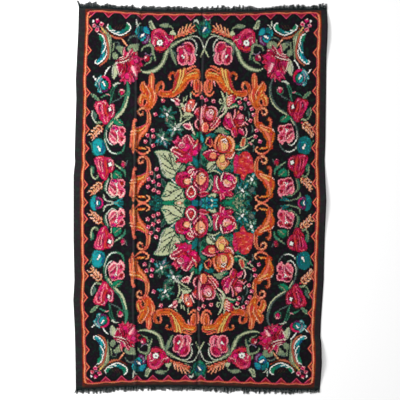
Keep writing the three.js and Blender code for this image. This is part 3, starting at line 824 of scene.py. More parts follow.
def line_flower(pen):
    """The flower on the mirror line, turquoise outside, purple inside and blue at its heart."""
    pen.shape([(-109.4, 0), (-109, 4), (-106.6, 7.2), (-104.2, 7), (-103.6, 3), (-103.4, -2), (-104.6, -7),
               (-107.6, -5)], "turquoise", "teal", 1)
    pen.shape([(-104, 5), (-101, 6.2), (-98, 4.4), (-96.4, 1), (-97, -4), (-101.6, -6), (-104, -3)], "purple")
    pen.line([(-100.6, 5), (-98, 3), (-97.4, -1)], "magenta", 0.7, 1.1, 0.8)
    pen.dot(-101.8, 0, 3, "blue")
    pen.oval(-100.8, 0, 1.2, 2, "turquoise")
    pen.line([(-102.6, 1.8), (-102.2, -1.6)], "white", 1.2, 1.2)


def frame_leaves(pen):
    """The two upright leaves at the outer corner of the orange frame."""
    pen.shape([(-56.6, 121), (-58.8, 118.4), (-59.6, 114), (-57.4, 110.6), (-59.4, 107.6), (-61.4, 104.6),
               (-61.6, 100.6), (-60, 97.4), (-57.4, 98), (-57.2, 101.4), (-55.4, 104.2), (-53.6, 103.6),
               (-53, 100.6), (-55.4, 97), (-57, 94.6), (-53, 93.4), (-49.4, 94.4), (-46.4, 98),
               (-44.2, 102), (-43.4, 106.4), (-45, 110), (-46.8, 113.6), (-46.4, 119), (-46.2, 125.4),
               (-48, 129.4), (-50.4, 125.6), (-51, 119), (-52.6, 116.4), (-54.8, 118.6)],
              "burnt", "salmon", 1)
    pen.line([(-58, 116.4), (-56.4, 112.6), (-53.4, 108), (-50.8, 102), (-51.4, 97)],
             "orange", 1.6, 2.4, 3, 3, 1.6)
    pen.line([(-60, 100), (-59.6, 103.6), (-57.6, 106)], "orange", 1, 1.4, 1)
    pen.line([(-56.4, 119.8), (-54, 116.4), (-51.6, 112.6), (-49.6, 108.4), (-50.4, 103.6)],
             "apricot", 0.8, 1.1, 1.2, 1.2, 0.8)
    pen.line([(-58.4, 107.4), (-60, 104), (-60.4, 100.4)], "gold", 0.7, 1.1, 0.8)
    pen.line([(-57.2, 108.6), (-55, 107)], "gold", 0.9, 0.9)
    pen.line([(-48.6, 127), (-48.6, 120.4), (-48.4, 115)], "apricot", 0.9, 1.1, 0.8)
    pen.line([(-46.4, 111.6), (-45.2, 106), (-46.8, 100.6)], "apricot", 0.8, 1, 0.8)
    for points in ([(-48, 112.6), (-47.2, 106.6), (-48.8, 100.6)],
                   [(-53.4, 110.6), (-52.4, 106.4)], [(-49.8, 119), (-50, 114.6)]):
        pen.line(points, "scarlet", 0.7, 1, 0.7)


def spined_leaf(pen):
    """The left scroll's leaf: a wedge that meets a straight spine."""
    pen.shape([(-51, 80), (-50.2, 77), (-53.4, 70.6), (-58, 65.6), (-60.6, 61), (-62.4, 55.6), (-64.4, 58),
               (-64.4, 70), (-64, 75), (-58, 76)], "burnt", "rust", 0.6)
    pen.line([(-51.4, 79), (-54.6, 73), (-59, 68.4), (-61.2, 63.4), (-62.6, 58)],
             "salmon", 1.6, 2.8, 2.6, 2, 1)
    pen.line([(-63.4, 75.2), (-58, 76.6), (-54, 79)], "rose", 0.7, 0.9, 0.7)
    pen.line([(-63.4, 72), (-58.6, 73.2), (-53.4, 78)], "gold", 0.8, 1, 0.7)
    pen.line([(-63.4, 69), (-63.4, 63)], "rust", 1, 0.8)
    pen.shape([(-62.8, 81.8), (-63.6, 84), (-65.6, 84.4), (-67.2, 82), (-67.6, 78), (-68.2, 73), (-69.4, 68),
               (-69.8, 62), (-70.4, 57), (-69.6, 55), (-68.4, 57), (-68, 52.6), (-66.8, 49.4), (-65.6, 52),
               (-65, 58), (-64.6, 65), (-64.4, 72), (-64.8, 78), (-64.8, 81)], "salmon", "rust", 0.5)
    pen.line([(-66.2, 76), (-66.4, 68), (-66.2, 60), (-66.6, 53)], "orange", 1, 2, 2, 1)
    pen.line([(-69, 61), (-68.6, 57)], "pine", 0.6, 0.8)
    pen.line([(-65.8, 70), (-65.8, 62), (-66, 56)], "apricot", 0.6, 0.9, 0.6)
    for x, y in ((-69.6, 71.4), (-69.8, 68.4)):
        pen.line([(x, y), (x + 3, y + 0.4), (x + 5.6, y + 1)], "apricot", 0.8, 1.1, 0.8)
    pen.line([(-69.4, 71.4), (-67.6, 71.4)], "blush", 0.7, 0.7)


def lobed_leaf(pen):
    """The right scroll's leaf: a body with a small curl at its top and lobes down its outer side."""
    pen.shape([(-51, 80), (-52, 76.3), (-56.5, 71.9), (-58.8, 66.3), (-61.8, 61.9), (-61, 57.4),
               (-62.8, 54.2), (-66, 53), (-68.3, 56.3), (-67.2, 59.1), (-69.8, 64.1), (-69.4, 70.8),
               (-66.6, 75.4), (-67.2, 81.6), (-65.6, 85.4), (-62.8, 85.4), (-61.6, 82.6), (-63.6, 82),
               (-64.2, 79.2), (-62.8, 76.8), (-59.4, 77.6), (-56.2, 81)], "burnt", "rust", 0.7)
    pen.line([(-65.8, 76.6), (-66, 81.4), (-64.6, 84.2), (-62.8, 83.6)], "salmon", 1, 1.4, 1.2, 0.8)
    pen.line([(-54.6, 77), (-59.6, 72.6), (-63, 67), (-64.8, 61), (-64.8, 56)],
             "salmon", 1.6, 2.6, 2.8, 2.4, 1.4)
    pen.line([(-68, 71), (-68.2, 65), (-66.6, 60), (-67, 56)], "orange", 0.9, 1.3, 1.3, 0.8)
    pen.line([(-65.6, 71), (-66.2, 66), (-65.8, 62)], "scarlet", 0.8, 1.1, 0.8)
    pen.line([(-55, 78.2), (-60, 76.2), (-66, 74.6)], "apricot", 0.8, 1, 0.8)
    pen.line([(-55.6, 75.6), (-60.4, 73.6), (-64.4, 70.6)], "gold", 0.7, 1, 0.7)
    pen.line([(-67.4, 74.2), (-69, 71.4)], "blush", 0.7, 0.7)


def frame_scroll(pen):
    """An open curl, the arch that leads down from it, and the banded leaf below it that ends in a ring."""
    arch = [(-56.8, 91.4), (-57.4, 89), (-59.4, 88), (-61.4, 89.6), (-61.6, 92.2), (-59.6, 94.4), (-56, 94.8),
            (-53, 93), (-51.4, 89), (-51, 84.4), (-51.6, 79.6), (-54.6, 75.4), (-59, 72), (-63, 68.6)]
    for yarn, widths in (
        ("rust", (1.6, 2.2, 2.4, 2.6, 2.8, 3.2, 3.8, 4.4, 4.8, 5, 5.4, 6, 6.6, 6)),
        ("salmon", (1.2, 1.7, 1.8, 2, 2.1, 2.4, 3, 3.8, 4.1, 4.4, 4.6, 5, 5.4, 4.8)),
        ("burnt", (0.1, 0.1, 0.1, 0.1, 0.1, 0.1, 0.4, 0.8, 0.8, 1, 1.2, 2, 2.6, 2)),
    ):
        pen.line(arch, yarn, *widths)
    pen.line([(-57.2, 89.6), (-59.4, 88.3), (-61.2, 89.8), (-61.4, 92.2), (-59.4, 94.2), (-56.4, 94.6)],
             "apricot", 0.8, 1.1, 1, 1, 1, 0.7)
    pen.line([(-50.4, 90), (-49.8, 85), (-50, 80.4)], "apricot", 0.7, 1, 0.7)
    if pen.flip:
        lobed_leaf(pen)
    else:
        spined_leaf(pen)
    ring = [(-64.4, 53.6), (-61.4, 50.6), (-57.6, 48.8), (-53.8, 49.8), (-50.8, 52.4), (-51.2, 55), (-53, 56)]
    pen.line(ring, "rust", 1.6, 2.6, 2.8, 2.8, 2.6, 2.4, 1.8)
    pen.line(ring, "salmon", 0.9, 1.6, 1.8, 1.8, 1.7, 1.4, 1)
    pen.line(ring[3:], "apricot", 0.6, 0.9, 0.9, 0.8)
    pen.line([(-64, 56), (-60.4, 54.8), (-57, 54.8), (-54.4, 53.8)], "rust", 1.6, 2.8, 3, 2)
    pen.line([(-64, 56), (-60.4, 54.8), (-57, 54.8), (-54.8, 53.8)], "orange", 0.8, 1.8, 2, 1)
    pen.line([(-57.6, 55.2), (-56, 54.4)], "gold", 0.9, 0.9)


def frame_leaf(pen):
    """The long leaf of the frame's top, with its hook, its curl and the ring by the middle."""
    hook = [(-37.2, 113), (-36.4, 117.4), (-38.4, 120.4), (-41.4, 118.8), (-43.2, 114.6), (-41.6, 110),
            (-37.6, 107.6), (-33, 107.6)]
    pen.line(hook, "salmon", 1.4, 2, 2.4, 3.4, 3.8, 4, 4, 3)
    pen.line(hook[2:], "burnt", 0.8, 1.6, 2.2, 2, 2, 1)
    pen.line([(-16, 132), (-11.4, 134), (-7.4, 136.4), (-4.6, 136.6)], "salmon", 1.6, 2.4, 2.2, 1)
    pen.line([(-14, 132), (-10, 134)], "burnt", 1, 1)
    curl = [(-29.6, 123.4), (-30.6, 126.8), (-28.4, 129.8), (-25.4, 129.2), (-23.6, 125.4)]
    pen.line(curl, "salmon", 1.4, 2, 2.4, 2.8, 3)
    pen.line(curl[1:], "burnt", 0.8, 1.2, 1.6, 2)
    pen.shape([(-41, 108.6), (-37, 106.4), (-28, 106), (-23.4, 108.4), (-17.6, 112.2), (-13.4, 117.6),
               (-11, 121.6), (-6, 123), (-1.4, 123.6), (0, 128), (-1.2, 132.4), (-5, 133.8), (-9.5, 131.8),
               (-13.4, 129.4), (-14.4, 133), (-15.8, 135), (-17.6, 131.4), (-19.2, 133.6), (-22.4, 131.6),
               (-23.8, 128.4), (-24.4, 124.4), (-25.6, 119.6), (-27, 115), (-30, 111.8), (-36, 111.6),
               (-40, 112.4)], "burnt", "salmon", 1)
    pen.line([(-2, 127.6), (-7.6, 127.6), (-13, 125), (-17.4, 119.6), (-21.6, 113)],
             "orange", 3, 4.4, 4, 3, 1.6)
    pen.line([(-37, 109.6), (-32, 109), (-26.4, 109.4)], "orange", 1, 1.8, 1.4)
    pen.line([(-3, 130), (-8.6, 129.4), (-12.6, 127.4)], "gold", 0.9, 1.4, 0.8)
    pen.line([(-10.6, 129.8), (-7.6, 131), (-4.6, 132.6)], "wine", 0.8, 1.2, 0.8)
    pen.line([(-22.6, 129.6), (-24, 123.4), (-25, 117.6), (-27.6, 112.6)], "scarlet", 0.8, 1.2, 1.4, 1)
    for vein in (
        [(-19.4, 133), (-19.8, 127.6), (-21.4, 120.6), (-23.8, 114), (-27, 110.4)],
        [(-15.9, 134.4), (-17.2, 127), (-19.8, 120), (-22, 115.6)],
    ):
        pen.line(vein, "gold", 1.3, 1.5, 1.4, 1)
    pen.line([(-8, 121.4), (-8.8, 117.4)], "pink", 1.8, 1)
    ring = [(-5.6, 122.4), (-5.6, 117), (-5, 113.4), (-3, 111), (-1.2, 114), (-0.8, 119.6), (-2, 122.6)]
    pen.line(ring, "salmon", 1.8, 1.8, 1.8, 1.8, 1.8, 2.2, 2)
    pen.line([(-3.6, 120.6), (-3.4, 116), (-3, 113)], "burnt", 2, 2, 1.2)
    pen.line([(0.6, 121), (1.6, 116), (0.4, 110.8), (-2.6, 107.4), (-5.6, 108.4), (-8, 111)], "salmon",
             1.6, 1.8, 2, 2.2, 1.8, 1.2)


# The stars' dim blades, in squares. Each star is its centre, then its petals' tips, hearts and edges.
BLADES = 7
BLADE_LENGTH = 9.6
STARS = (
    ((-33, 88.5), (
        (-36.4, 96.6, "mauve", "sea"), (-28.6, 96, "mauve", "sea"), (-40.2, 86.6, "slate", "turquoise"),
        (-33, 80, "crimson", "sea"), (-25.6, 84, "pine", "sea"), (-38.4, 91.6, "pine", "deep"),
    )),
    ((-25, 74), (
        (-24.6, 81, "purple", "sea"), (-16.8, 73, "mauve", "sea"), (-19, 79.6, "slate", "silver"),
        (-31.6, 73, "teal", "turquoise"), (-29, 66, "mauve", "sea"), (-31, 79.4, "deep", "sea"),
    )),
    ((-37.4, 64.8), (
        (-30.6, 62.4, "crimson", "sea"), (-43.8, 69.4, "slate", "sea"), (-44, 61, "mauve", "turquoise"),
        (-39.6, 58.6, "turquoise", "teal"), (-36, 71, "mauve", "sea"), (-33.4, 55.4, "mauve", "teal"),
    )),
    ((51.8, 23.6), (
        (45.6, 20.8, "silver", "sea"), (56.4, 16.6, "turquoise", "sea"), (54.6, 30.6, "silver", "turquoise"),
        (47.6, 28.6, "sage", "deep"), (50.2, 17.4, "silver", "sea"),
    )),
    ((42.6, 12.4), (
        (37.6, 17.6, "silver", "turquoise"), (49.4, 7.4, "turquoise", "sea"), (34.6, 9, "sea", "deep"),
        (44.4, 4.4, "silver", "sea"), (48, 19.6, "turquoise", "teal"), (39, 4, "emerald", "sea"),
    )),
)


def stars(pen):
    """Ragged pale stars: thin petals with a striped heart between light edges, among dim blades."""
    for middle, _ in STARS:
        for angle in rng.uniform(0, 2 * math.pi, BLADES):
            far = np.add(middle, (BLADE_LENGTH * math.cos(angle), BLADE_LENGTH * math.sin(angle)))
            pen.leaf(middle, far, 2.8, "deep")
            pen.line([middle, far], ("slate", "teal")[rng.integers(2)], 0.5, 0.7)
    for middle, petals in STARS:
        middle = np.array(middle)
        for x, y, heart, edge in petals:
            out = np.array([x, y]) - middle
            side = np.array([-out[1], out[0]]) * 0.16
            pen.leaf(middle, (x, y), 5, "deep")
            pen.leaf(middle + out * 0.1, (x, y), 2.6, heart)
            pen.line([middle + out * 0.1, middle + out * 0.55 + side, middle + out * 1.05],
                     edge, 0.7, 1.15, 0.9)
            pen.line([middle + out * 0.2, middle + out * 0.6 - side, middle + out * 0.95], edge, 0.6, 1, 0.7)
            pen.line([middle + out * 0.3, middle + out * 0.75], "silver", 0.6, 0.5)
        pen.oval(*middle, 1.2, 2, "white", turn=25)


def line_star(pen):
    """The broad turquoise star on the mirror line."""
    for tip in ((1.6, 4), (0.8, -3.4), (6.4, 5.8), (12.6, 6), (17.8, 3.6), (20.4, -2), (15, -6.8), (6.6, -7)):
        pen.leaf((9.2, -0.8), tip, 4.4, "turquoise", "teal", line=0.7)
    for tip in ((4, 3.4), (12, 4.2), (17, -1.6)):
        pen.line([(9.2, -0.8), tip], "sea", 0.6, 0.8)
    pen.dot(9.2, -1, 2.2, "blue")
    pen.oval(11.8, 2.4, 0.9, 1.4, "silver")
    pen.oval(15.2, -1, 1.1, 0.8, "mauve")
    pen.dot(9.2, -1.2, 1.1, "white")


def line_foliage(pen):
    """Leaves on the mirror line, between the two halves of the bouquet."""
    for tip in ((-48, 6.6), (-51, 1.4), (-49.6, -3.4), (-44.6, 7.4), (-42, -5), (-45, 3)):
        pen.leaf((-37, 0), tip, 3, "deep", "teal", line=0.8)
    pen.shape([(-38, 0.4), (-32, 2.4), (-25, 2), (-25, -3), (-32, -3.4)], "emerald", "deep", 0.8)
    pen.shape([(-26, -0.6), (-20, 3.6), (-14.4, 3.8), (-15.4, -4), (-20.6, -4.2)], "pale", "sage", 0.8)
    pen.oval(-20.4, -0.6, 3, 1.8, "apricot")
    pen.shape([(-15.6, 1), (-12, 3), (-8, 1), (-8.4, -3.6), (-12.4, -4.6)], "deep", "emerald", 1)
    pen.shape([(-8, 1.6), (-3, 2.4), (2, 1), (1.4, -4), (-4, -4.4)], "teal", "blue", 1)
    pen.line([(-8, -1), (-4, -1.6)], "wine", 1, 1.4)
    pen.shape([(8, 6.4), (12, 9.4), (16, 9), (14.6, 5.4), (10.6, 5)], "pale", "sage", 0.8)
    pen.shape([(21, -0.4), (28, 2), (36, 3.4), (44, -0.6), (36, -4.4), (27, -3)], "emerald", "deep", 1)
    for points in (
        [(33, 0.6), (36, 1.6), (39.4, 4.4), (42.4, 3.4)], [(35, -1), (39, -2.4), (42, -5), (42.6, -7)],
        [(26, 4.4), (31, 5), (35.4, 7.6)], [(36.4, 0.4), (40.4, 0.6), (43.4, 2.4)],
    ):
        pen.line(points, "sage", 0.9, 1.4, 1.3, 0.8)


def sage_leaves(pen):
    """Two cream-green leaves with dark veins that meet where the roses begin."""
    pen.shape([(-45.4, 51), (-42, 46), (-41, 42), (-39.6, 37), (-38.8, 32), (-37, 28), (-34, 25.4),
               (-29, 24.6), (-25, 27), (-23.4, 31), (-20, 34.6), (-17.4, 38), (-19.4, 40), (-23.6, 41),
               (-24.6, 46), (-27, 50), (-33, 52), (-40, 52.6)], "pale", "sea", 0.8)
    pen.line([(-43.6, 49.6), (-40.8, 45), (-39.4, 39), (-38, 32), (-34.6, 27)],
             "silver", 0.8, 1.2, 1.2, 1, 0.6)
    for points in ([(-32, 44.6), (-29.6, 40.6), (-27, 37)],
                   [(-30, 49.6), (-28.4, 46)], [(-26.4, 41.6), (-24, 38)], [(-37.6, 33), (-35, 30)]):
        pen.line(points, "sage", 1, 1.5, 0.9)
    for vein in (
        [(-41, 49.4), (-37.4, 45.8), (-34, 43.2), (-30.6, 40.6), (-28, 37), (-25.8, 33)],
        [(-36.8, 49.2), (-34.4, 46), (-33.4, 43.4)], [(-31.4, 48.8), (-29.6, 44.6), (-28.4, 41.4)],
        [(-27.8, 46.4), (-26, 42.6)], [(-38, 39.8), (-34.6, 37.4), (-30.6, 35), (-26.4, 33.2)],
        [(-34.8, 33.2), (-31.4, 30.6), (-28, 29), (-24.4, 28)], [(-25.2, 33.6), (-24, 30.4), (-22.8, 27.4)],
        [(-24.4, 32.6), (-21, 35), (-19.4, 37.6), (-17.2, 39.6)],
    ):
        pen.line(vein, "pine", 0.9, 1.15, 1)
    pen.line([(-29.6, 24.6), (-26.4, 21.8), (-24, 19.4)], "silver", 1, 1.5, 0.8)
    pen.shape([(-31, 20.8), (-27, 19.8), (-23, 17.2), (-19.6, 15.4), (-17, 13.4), (-16.6, 9), (-15.4, 5),
               (-16.4, 1.8), (-22, 0.8), (-27, 2), (-33, 1.6), (-37.6, 3.6), (-38.4, 7), (-36.2, 10.4),
               (-35, 14.4), (-33.4, 18)], "pale", "sea", 0.8)
    for points in ([(-37, 6.6), (-34, 8.6)],
                   [(-25.4, 16), (-22, 14.6)], [(-24.6, 1.8), (-20.4, 2.8), (-16.8, 3.4)]):
        pen.line(points, "sea", 1, 1.2, 0.8)
    for vein in (
        [(-18.4, 14.8), (-22.4, 13.4), (-26, 12), (-29, 9.8), (-31.4, 7.4), (-34.8, 6.2)],
        [(-30.4, 18.6), (-27, 16.8), (-24, 15.6)],
        [(-33.4, 12.8), (-30.6, 11.2), (-28.8, 11)],
        [(-17.6, 13.6), (-18, 10.4), (-21, 7.6), (-24, 5), (-26.8, 2.4)],
        [(-20.4, 8.8), (-19, 5.6), (-17.6, 3.2)],
    ):
        pen.line(vein, "pine", 0.9, 1.15, 1)


# The thicket: how often each pair of yarns comes, the place of its first leaf, the steps between leaves,
# how far each strays, how long and wide it is, and the round patch that they fill.
THICKET = (
    (4, "pine", "deep"), (3, "deep", "teal"), (2, "teal", "deep"), (1, "deep", "emerald"), (1, "deep", "sea"),
)
THICKET_START = (-30, 1)
THICKET_STEP = (6.2, 6.4)
THICKET_COUNT = (15, 11)
THICKET_STRAY = 1.4
THICKET_LEAF = (7, 4.2)
THICKET_MIDDLE = (14, 26)
THICKET_RADIUS = 42


def thicket(pen):
    """Small dark leaves that fill the bouquet behind its flowers."""
    kinds = [kind[1:] for kind in THICKET for _ in range(kind[0])]
    for row in range(THICKET_COUNT[1]):
        for column in range(THICKET_COUNT[0]):
            x = THICKET_START[0] + (column + row % 2 / 2) * THICKET_STEP[0]
            x += rng.uniform(-THICKET_STRAY, THICKET_STRAY)
            y = THICKET_START[1] + row * THICKET_STEP[1] + rng.uniform(-THICKET_STRAY, THICKET_STRAY)
            angle, kind = rng.uniform(0, 2 * math.pi), kinds[rng.integers(len(kinds))]
            if math.dist((x, y), THICKET_MIDDLE) < THICKET_RADIUS:
                tip = (x + THICKET_LEAF[0] * math.cos(angle), y + THICKET_LEAF[0] * math.sin(angle))
                pen.leaf((x, y), tip, THICKET_LEAF[1], kind[0], kind[1])


def bouquet_greens(pen):
    """Leaves, stems and dark greens that fill the gaps between the flowers."""
    for base, tip, width, yarn, edge in (
        ((-20, 8), (-44, 2), 6, "teal", "deep"), ((-38, 24), (-34, 14), 4, "deep", "slate"),
        ((-8, 46), (-1, 36), 6, "teal", "deep"), ((-8, 42), (-13.6, 37), 3, "emerald", "deep"),
        ((2, 46), (7.4, 36), 6, "deep", "sea"), ((1, 50), (4, 42), 3, "emerald", "deep"),
        ((-4, 66), (2, 71), 5, "emerald", "deep"), ((-9, 69), (-4, 63.6), 3.4, "sea", "deep"),
        ((1, 69), (3, 60), 3.6, "turquoise", "deep"), ((1, 52), (7, 56.6), 4, "sea", "deep"),
        ((5, 67), (16, 68), 5, "teal", "pine"), ((15, 36), (34, 36.6), 6, "sea", "deep"),
        ((30, 33), (36, 40), 4, "sea", "deep"), ((10, 28), (12, 20), 4, "deep", "sea"),
        ((33, 55), (39.6, 57), 4, "emerald", "deep"), ((36, 50), (41, 47), 3.4, "sea", "deep"),
        ((28, 3), (41, 8), 7, "emerald", "deep"), ((38, 14), (48, 22), 7, "teal", "pine"),
        ((34, 14), (38, 22), 5, "deep", "sea"), ((42, 18), (49, 14), 4, "turquoise", "deep"),
        ((48, 10), (55, 16), 5, "slate", "pine"), ((20, 0), (34, -1), 4, "teal", "deep"),
    ):
        pen.leaf(base, tip, width, yarn, edge, line=0.8)
    for x in (-45, -38, -31, -24, -14, -6, 1, 12, 22, 30, 38, 44):
        yarn = ("teal", "emerald", "sea")[int(abs(x)) % 3]
        pen.leaf((x, -1.5), (x + 5.5, 2.6), 3.6, yarn, "deep", line=0.7)
        pen.leaf((x + 6, 1.6), (x + 1.5, -2.4), 2.4, "teal", line=0.7)
    for points in (
        [(8, 31), (14, 32.4), (20.4, 29.4)],
        [(36, 53.6), (40.6, 53.4), (46.6, 57), (50, 60)],
        [(-8.4, 79), (-7.6, 74), (-5, 68)],
        [(-17, 80), (-13, 83.6), (-9, 86)],
        [(33.6, 2), (38, 4.6), (41.6, 6)], [(40, 1), (43, 5), (43.6, 10)],
    ):
        pen.line(points, "pine", 2, 3, 2)
        pen.line(points, "pale", 1, 1.8, 1)
    pen.shape([(7, 36), (9, 40.6), (15.6, 40.8), (13, 36.6), (9.4, 32.4)], "pale", "sage", 0.8)
    pen.line([(16, 40.4), (11.6, 36.6), (8, 32.6), (5.4, 31)], "pine", 1.2, 1.2, 0.8)
    pen.line([(15.6, 36.6), (12.6, 33.4)], "silver", 1.4, 0.9)
    pen.shape([(20, 76), (23, 75.4), (26, 72.4), (30, 70), (24.6, 68.4), (19, 70.6), (14, 70.8)],
              "sage", "deep", 0.7)
    pen.line([(25, 72), (29.4, 70)], "emerald", 1.4, 1)
    pen.shape([(9, 5.6), (11, 9.4), (16, 9), (13, 5.4)], "pale", "sea", 0.7)
    pen.line([(-10.6, 39.6), (-7.4, 37.2)], "silver", 1.4, 1)
    pen.shape([(-18, 37.6), (-14.6, 36.6), (-16, 32.8), (-19.6, 31.6)], "sage")
    for x, y in ((-46, 27), (-45, 16), (-42.6, 61), (-50, 62), (-36, 34), (52, 74), (48.6, 88), (44.6, 96),
                 (53.4, 55)):
        pen.line([(x, y - 3), (x + 0.8, y), (x - 0.4, y + 3.4)], "slate", 1, 1.6, 1)


def orange_buds(pen):
    """Three buds in cream and green sepals at the top left of the bouquet."""
    pen.line([(-18.6, 99), (-16.6, 96), (-14.6, 92.6), (-14, 88)], "pale", 2.4, 4, 4.4, 2.4)
    pen.line([(-20.4, 93.6), (-18.8, 90), (-18.6, 86), (-19.6, 81.4)], "pale", 1, 1.6, 1.6, 0.9)
    pen.line([(-16.8, 94.6), (-15.4, 92.4)], "apricot", 2, 2)
    for points in ([(-22.6, 105), (-20.4, 108.4)],
                   [(-16.2, 105.4), (-16.4, 101.6)],
                   [(-13, 106.6), (-14.6, 102.6)], [(-9, 110.6), (-9.4, 107), (-8.6, 103.6)]):
        pen.line(points, "pale", 1.2, 1.2, 0.8)
    pen.line([(-24.4, 98), (-22, 96.4), (-19.4, 95)], "sage", 1.2, 1.6, 1)
    pen.shape([(-28.6, 103.6), (-25, 104.8), (-21.4, 104.4), (-20.2, 101), (-21, 98), (-23.6, 97.8),
               (-25.6, 100.6)], "pink")
    pen.line([(-28.2, 103.4), (-26, 102)], "white", 1.6, 1.6)
    pen.line([(-24.8, 103.4), (-21, 100.4)], "crimson", 1.1, 1.2)
    pen.line([(-23.4, 104.2), (-20.8, 102.6)], "blush", 1, 1)
    pen.line([(-15.6, 91), (-14.8, 96), (-12.6, 100.4), (-9.6, 103.6)], "blush", 1, 1.6, 1.4, 1)
    pen.shape([(-13.6, 95), (-12.4, 99.6), (-9.4, 103.2), (-6, 102.6), (-5.8, 99), (-7.6, 94.6), (-10, 91),
               (-12.8, 91.6)], "salmon", "scarlet", 0.9)
    pen.line([(-11.6, 98), (-11, 94.4)], "blush", 1.4, 1.6)
    pen.line([(-9, 98), (-9, 94.6)], "pink", 1, 1.2)
    pen.dot(-8.8, 101, 1.1, "white")
    pen.line([(-7.6, 101.8), (-7.8, 98.4)], "scarlet", 0.8, 1)
    pen.line([(-3.6, 99.4), (-5.6, 96), (-7.4, 92.6)], "blush", 0.8, 1.2, 1.6)
    pen.line([(-16.4, 87), (-13.6, 88.6), (-10, 88.8), (-7.2, 87.4)], "pale", 1.6, 3, 3, 1.6)
    pen.line([(-15.4, 85.4), (-12, 85.8)], "sage", 1.2, 1.6)
    pen.line([(-18.4, 79.2), (-15.6, 81.6), (-13.2, 83.4), (-10.4, 84)], "pale", 1.2, 1.4, 1.2, 0.8)
    pen.shape([(-17.2, 78), (-14, 79.4), (-9.8, 78.8), (-8.4, 75.6), (-10.6, 73.6), (-13.6, 74.4)],
              "pink", "blush", 0.8)
    pen.line([(-14.4, 77.4), (-11.4, 76)], "hot", 1.4, 1.8)
    pen.line([(-10.4, 80.4), (-8.4, 76), (-6.8, 70)], "blush", 0.8, 1, 0.9)


def magenta_rose(pen):
    """Bright magenta, with blush bands at its left and a light bud in its heart."""
    pen.shape([(-28.4, 62), (-25, 63.2), (-22, 67.8), (-20.2, 65), (-17.4, 63.8), (-16, 66.4), (-12, 68.8),
               (-9.8, 67.6), (-7.4, 65), (-5.2, 62), (-2, 64.2), (-1, 60.8), (0.6, 59), (1.4, 56),
               (-0.4, 52), (-1.6, 49), (-5, 47), (-7.6, 46.8), (-7.8, 41.4), (-11, 41.6), (-14, 39.4),
               (-16.6, 41), (-18.4, 39.6), (-20, 41.4), (-24.6, 40.4), (-22.8, 43.6), (-21.4, 45.4),
               (-25.8, 47.8), (-26.8, 50), (-29.2, 51.6), (-28.8, 54.8), (-25.4, 57.4), (-26, 60)],
              "hot", "wine", 0.6)
    pen.shape([(-27, 61.6), (-24.4, 62.4), (-22, 66.6), (-20.6, 63.6), (-22.6, 60), (-25, 58.8)], "rose")
    pen.oval(-22, 62.6, 0.9, 1.5, "crimson")
    pen.line([(-24, 59.6), (-22.8, 57.6)], "crimson", 1, 1.4)
    pen.line([(-17.8, 62.4), (-16.4, 65), (-13.4, 67.4), (-11.4, 67.6)], "pink", 0.9, 1.5, 1.4, 0.9)
    pen.line([(-15.4, 64.6), (-15, 61.6)], "rose", 1.6, 1.4)
    pen.line([(-13.4, 66.2), (-12.8, 63.4), (-10.6, 60)], "crimson", 0.9, 1.2, 0.9)
    pen.line([(-11.8, 66.4), (-9.8, 62.8), (-7.6, 58.8), (-6.8, 57.2)], "pink", 1, 1.5, 1.5, 1)
    pen.line([(-11.4, 65.8), (-9.8, 62.8)], "blush", 0.6, 0.7)
    pen.line([(-9.6, 65.6), (-7.8, 62.6), (-5.8, 60.4)], "crimson", 0.9, 1.1, 0.9)
    pen.line([(-8.4, 65), (-6.2, 61.8)], "pink", 0.9, 1)
    pen.line([(-2.4, 63.2), (-2.8, 60.6), (-4.6, 58.6)], "salmon", 1, 1.4, 0.9)
    pen.line([(-5.4, 61.4), (-5.2, 58.8)], "wine", 1, 0.9)
    pen.oval(-14, 55, 4.6, 4.2, "magenta")
    pen.line([(-23, 54.8), (-19.4, 52.4), (-15.6, 50.6), (-12, 52.4)], "scarlet", 1.4, 2, 1.8, 1)
    pen.line([(-24.4, 53.8), (-20.6, 51.2), (-17, 48.8), (-13.4, 49.8), (-10.6, 53.6)],
             "crimson", 0.9, 1.3, 1.4, 1.3, 0.9)
    pen.oval(-18.4, 58, 3.3, 3.2, "pink")
    pen.oval(-18.3, 57.8, 1.9, 1.7, "rose")
    pen.line([(-20.6, 58.4), (-19, 60.2), (-16.8, 59.6)], "blush", 0.6, 0.8, 0.6)
    for x, y in ((-19.2, 58.8), (-17.4, 58.8), (-18.4, 57), (-17, 57)):
        pen.dot(x, y, 0.5, "dusk")
    pen.line([(-29, 52), (-28, 54.6), (-25, 55.9), (-22.4, 54.9)], "blush", 1, 1.5, 1.4, 0.9)
    pen.line([(-27.4, 53.7), (-24, 53.5), (-21, 51.6)], "crimson", 0.8, 1, 0.8)
    pen.line([(-26.6, 52), (-23.6, 50.7), (-20.2, 48.8), (-18, 47.2)], "pink", 1, 1.6, 1.5, 0.9)
    pen.line([(-24.8, 49.6), (-21.4, 47.6), (-19, 46)], "crimson", 0.8, 1, 0.8)
    pen.line([(-25.6, 48), (-23, 46.2), (-21.4, 44.8)], "blush", 0.9, 1.4, 1)
    pen.line([(-20, 44.8), (-16.4, 44), (-13.4, 44.6)], "magenta", 1.6, 2.4, 1.6)
    pen.oval(-5.4, 50.6, 3.4, 2.4, "magenta")
    pen.line([(-6.6, 54.8), (-4.4, 57.4), (-2.8, 58.6)], "blush", 0.9, 1.2, 0.8)
    for points in ([(-8.4, 56.6), (-7.6, 53.6)],
                   [(-4.6, 54.2), (-2.6, 55)],
                   [(-1.6, 58), (0, 56)],
                   [(-12, 46.4), (-11.4, 42.6)],
                   [(-18, 43), (-16.6, 40.8)], [(-24, 41.4), (-21.6, 42.2)], [(-9, 50), (-8, 47)]):
        pen.line(points, "crimson", 0.9, 1.1)
    pen.line([(-11.8, 49.6), (-10.4, 48)], "mauve", 1, 1)
    pen.line([(-22.8, 39.6), (-19.8, 39.4)], "pink", 0.9, 0.9)


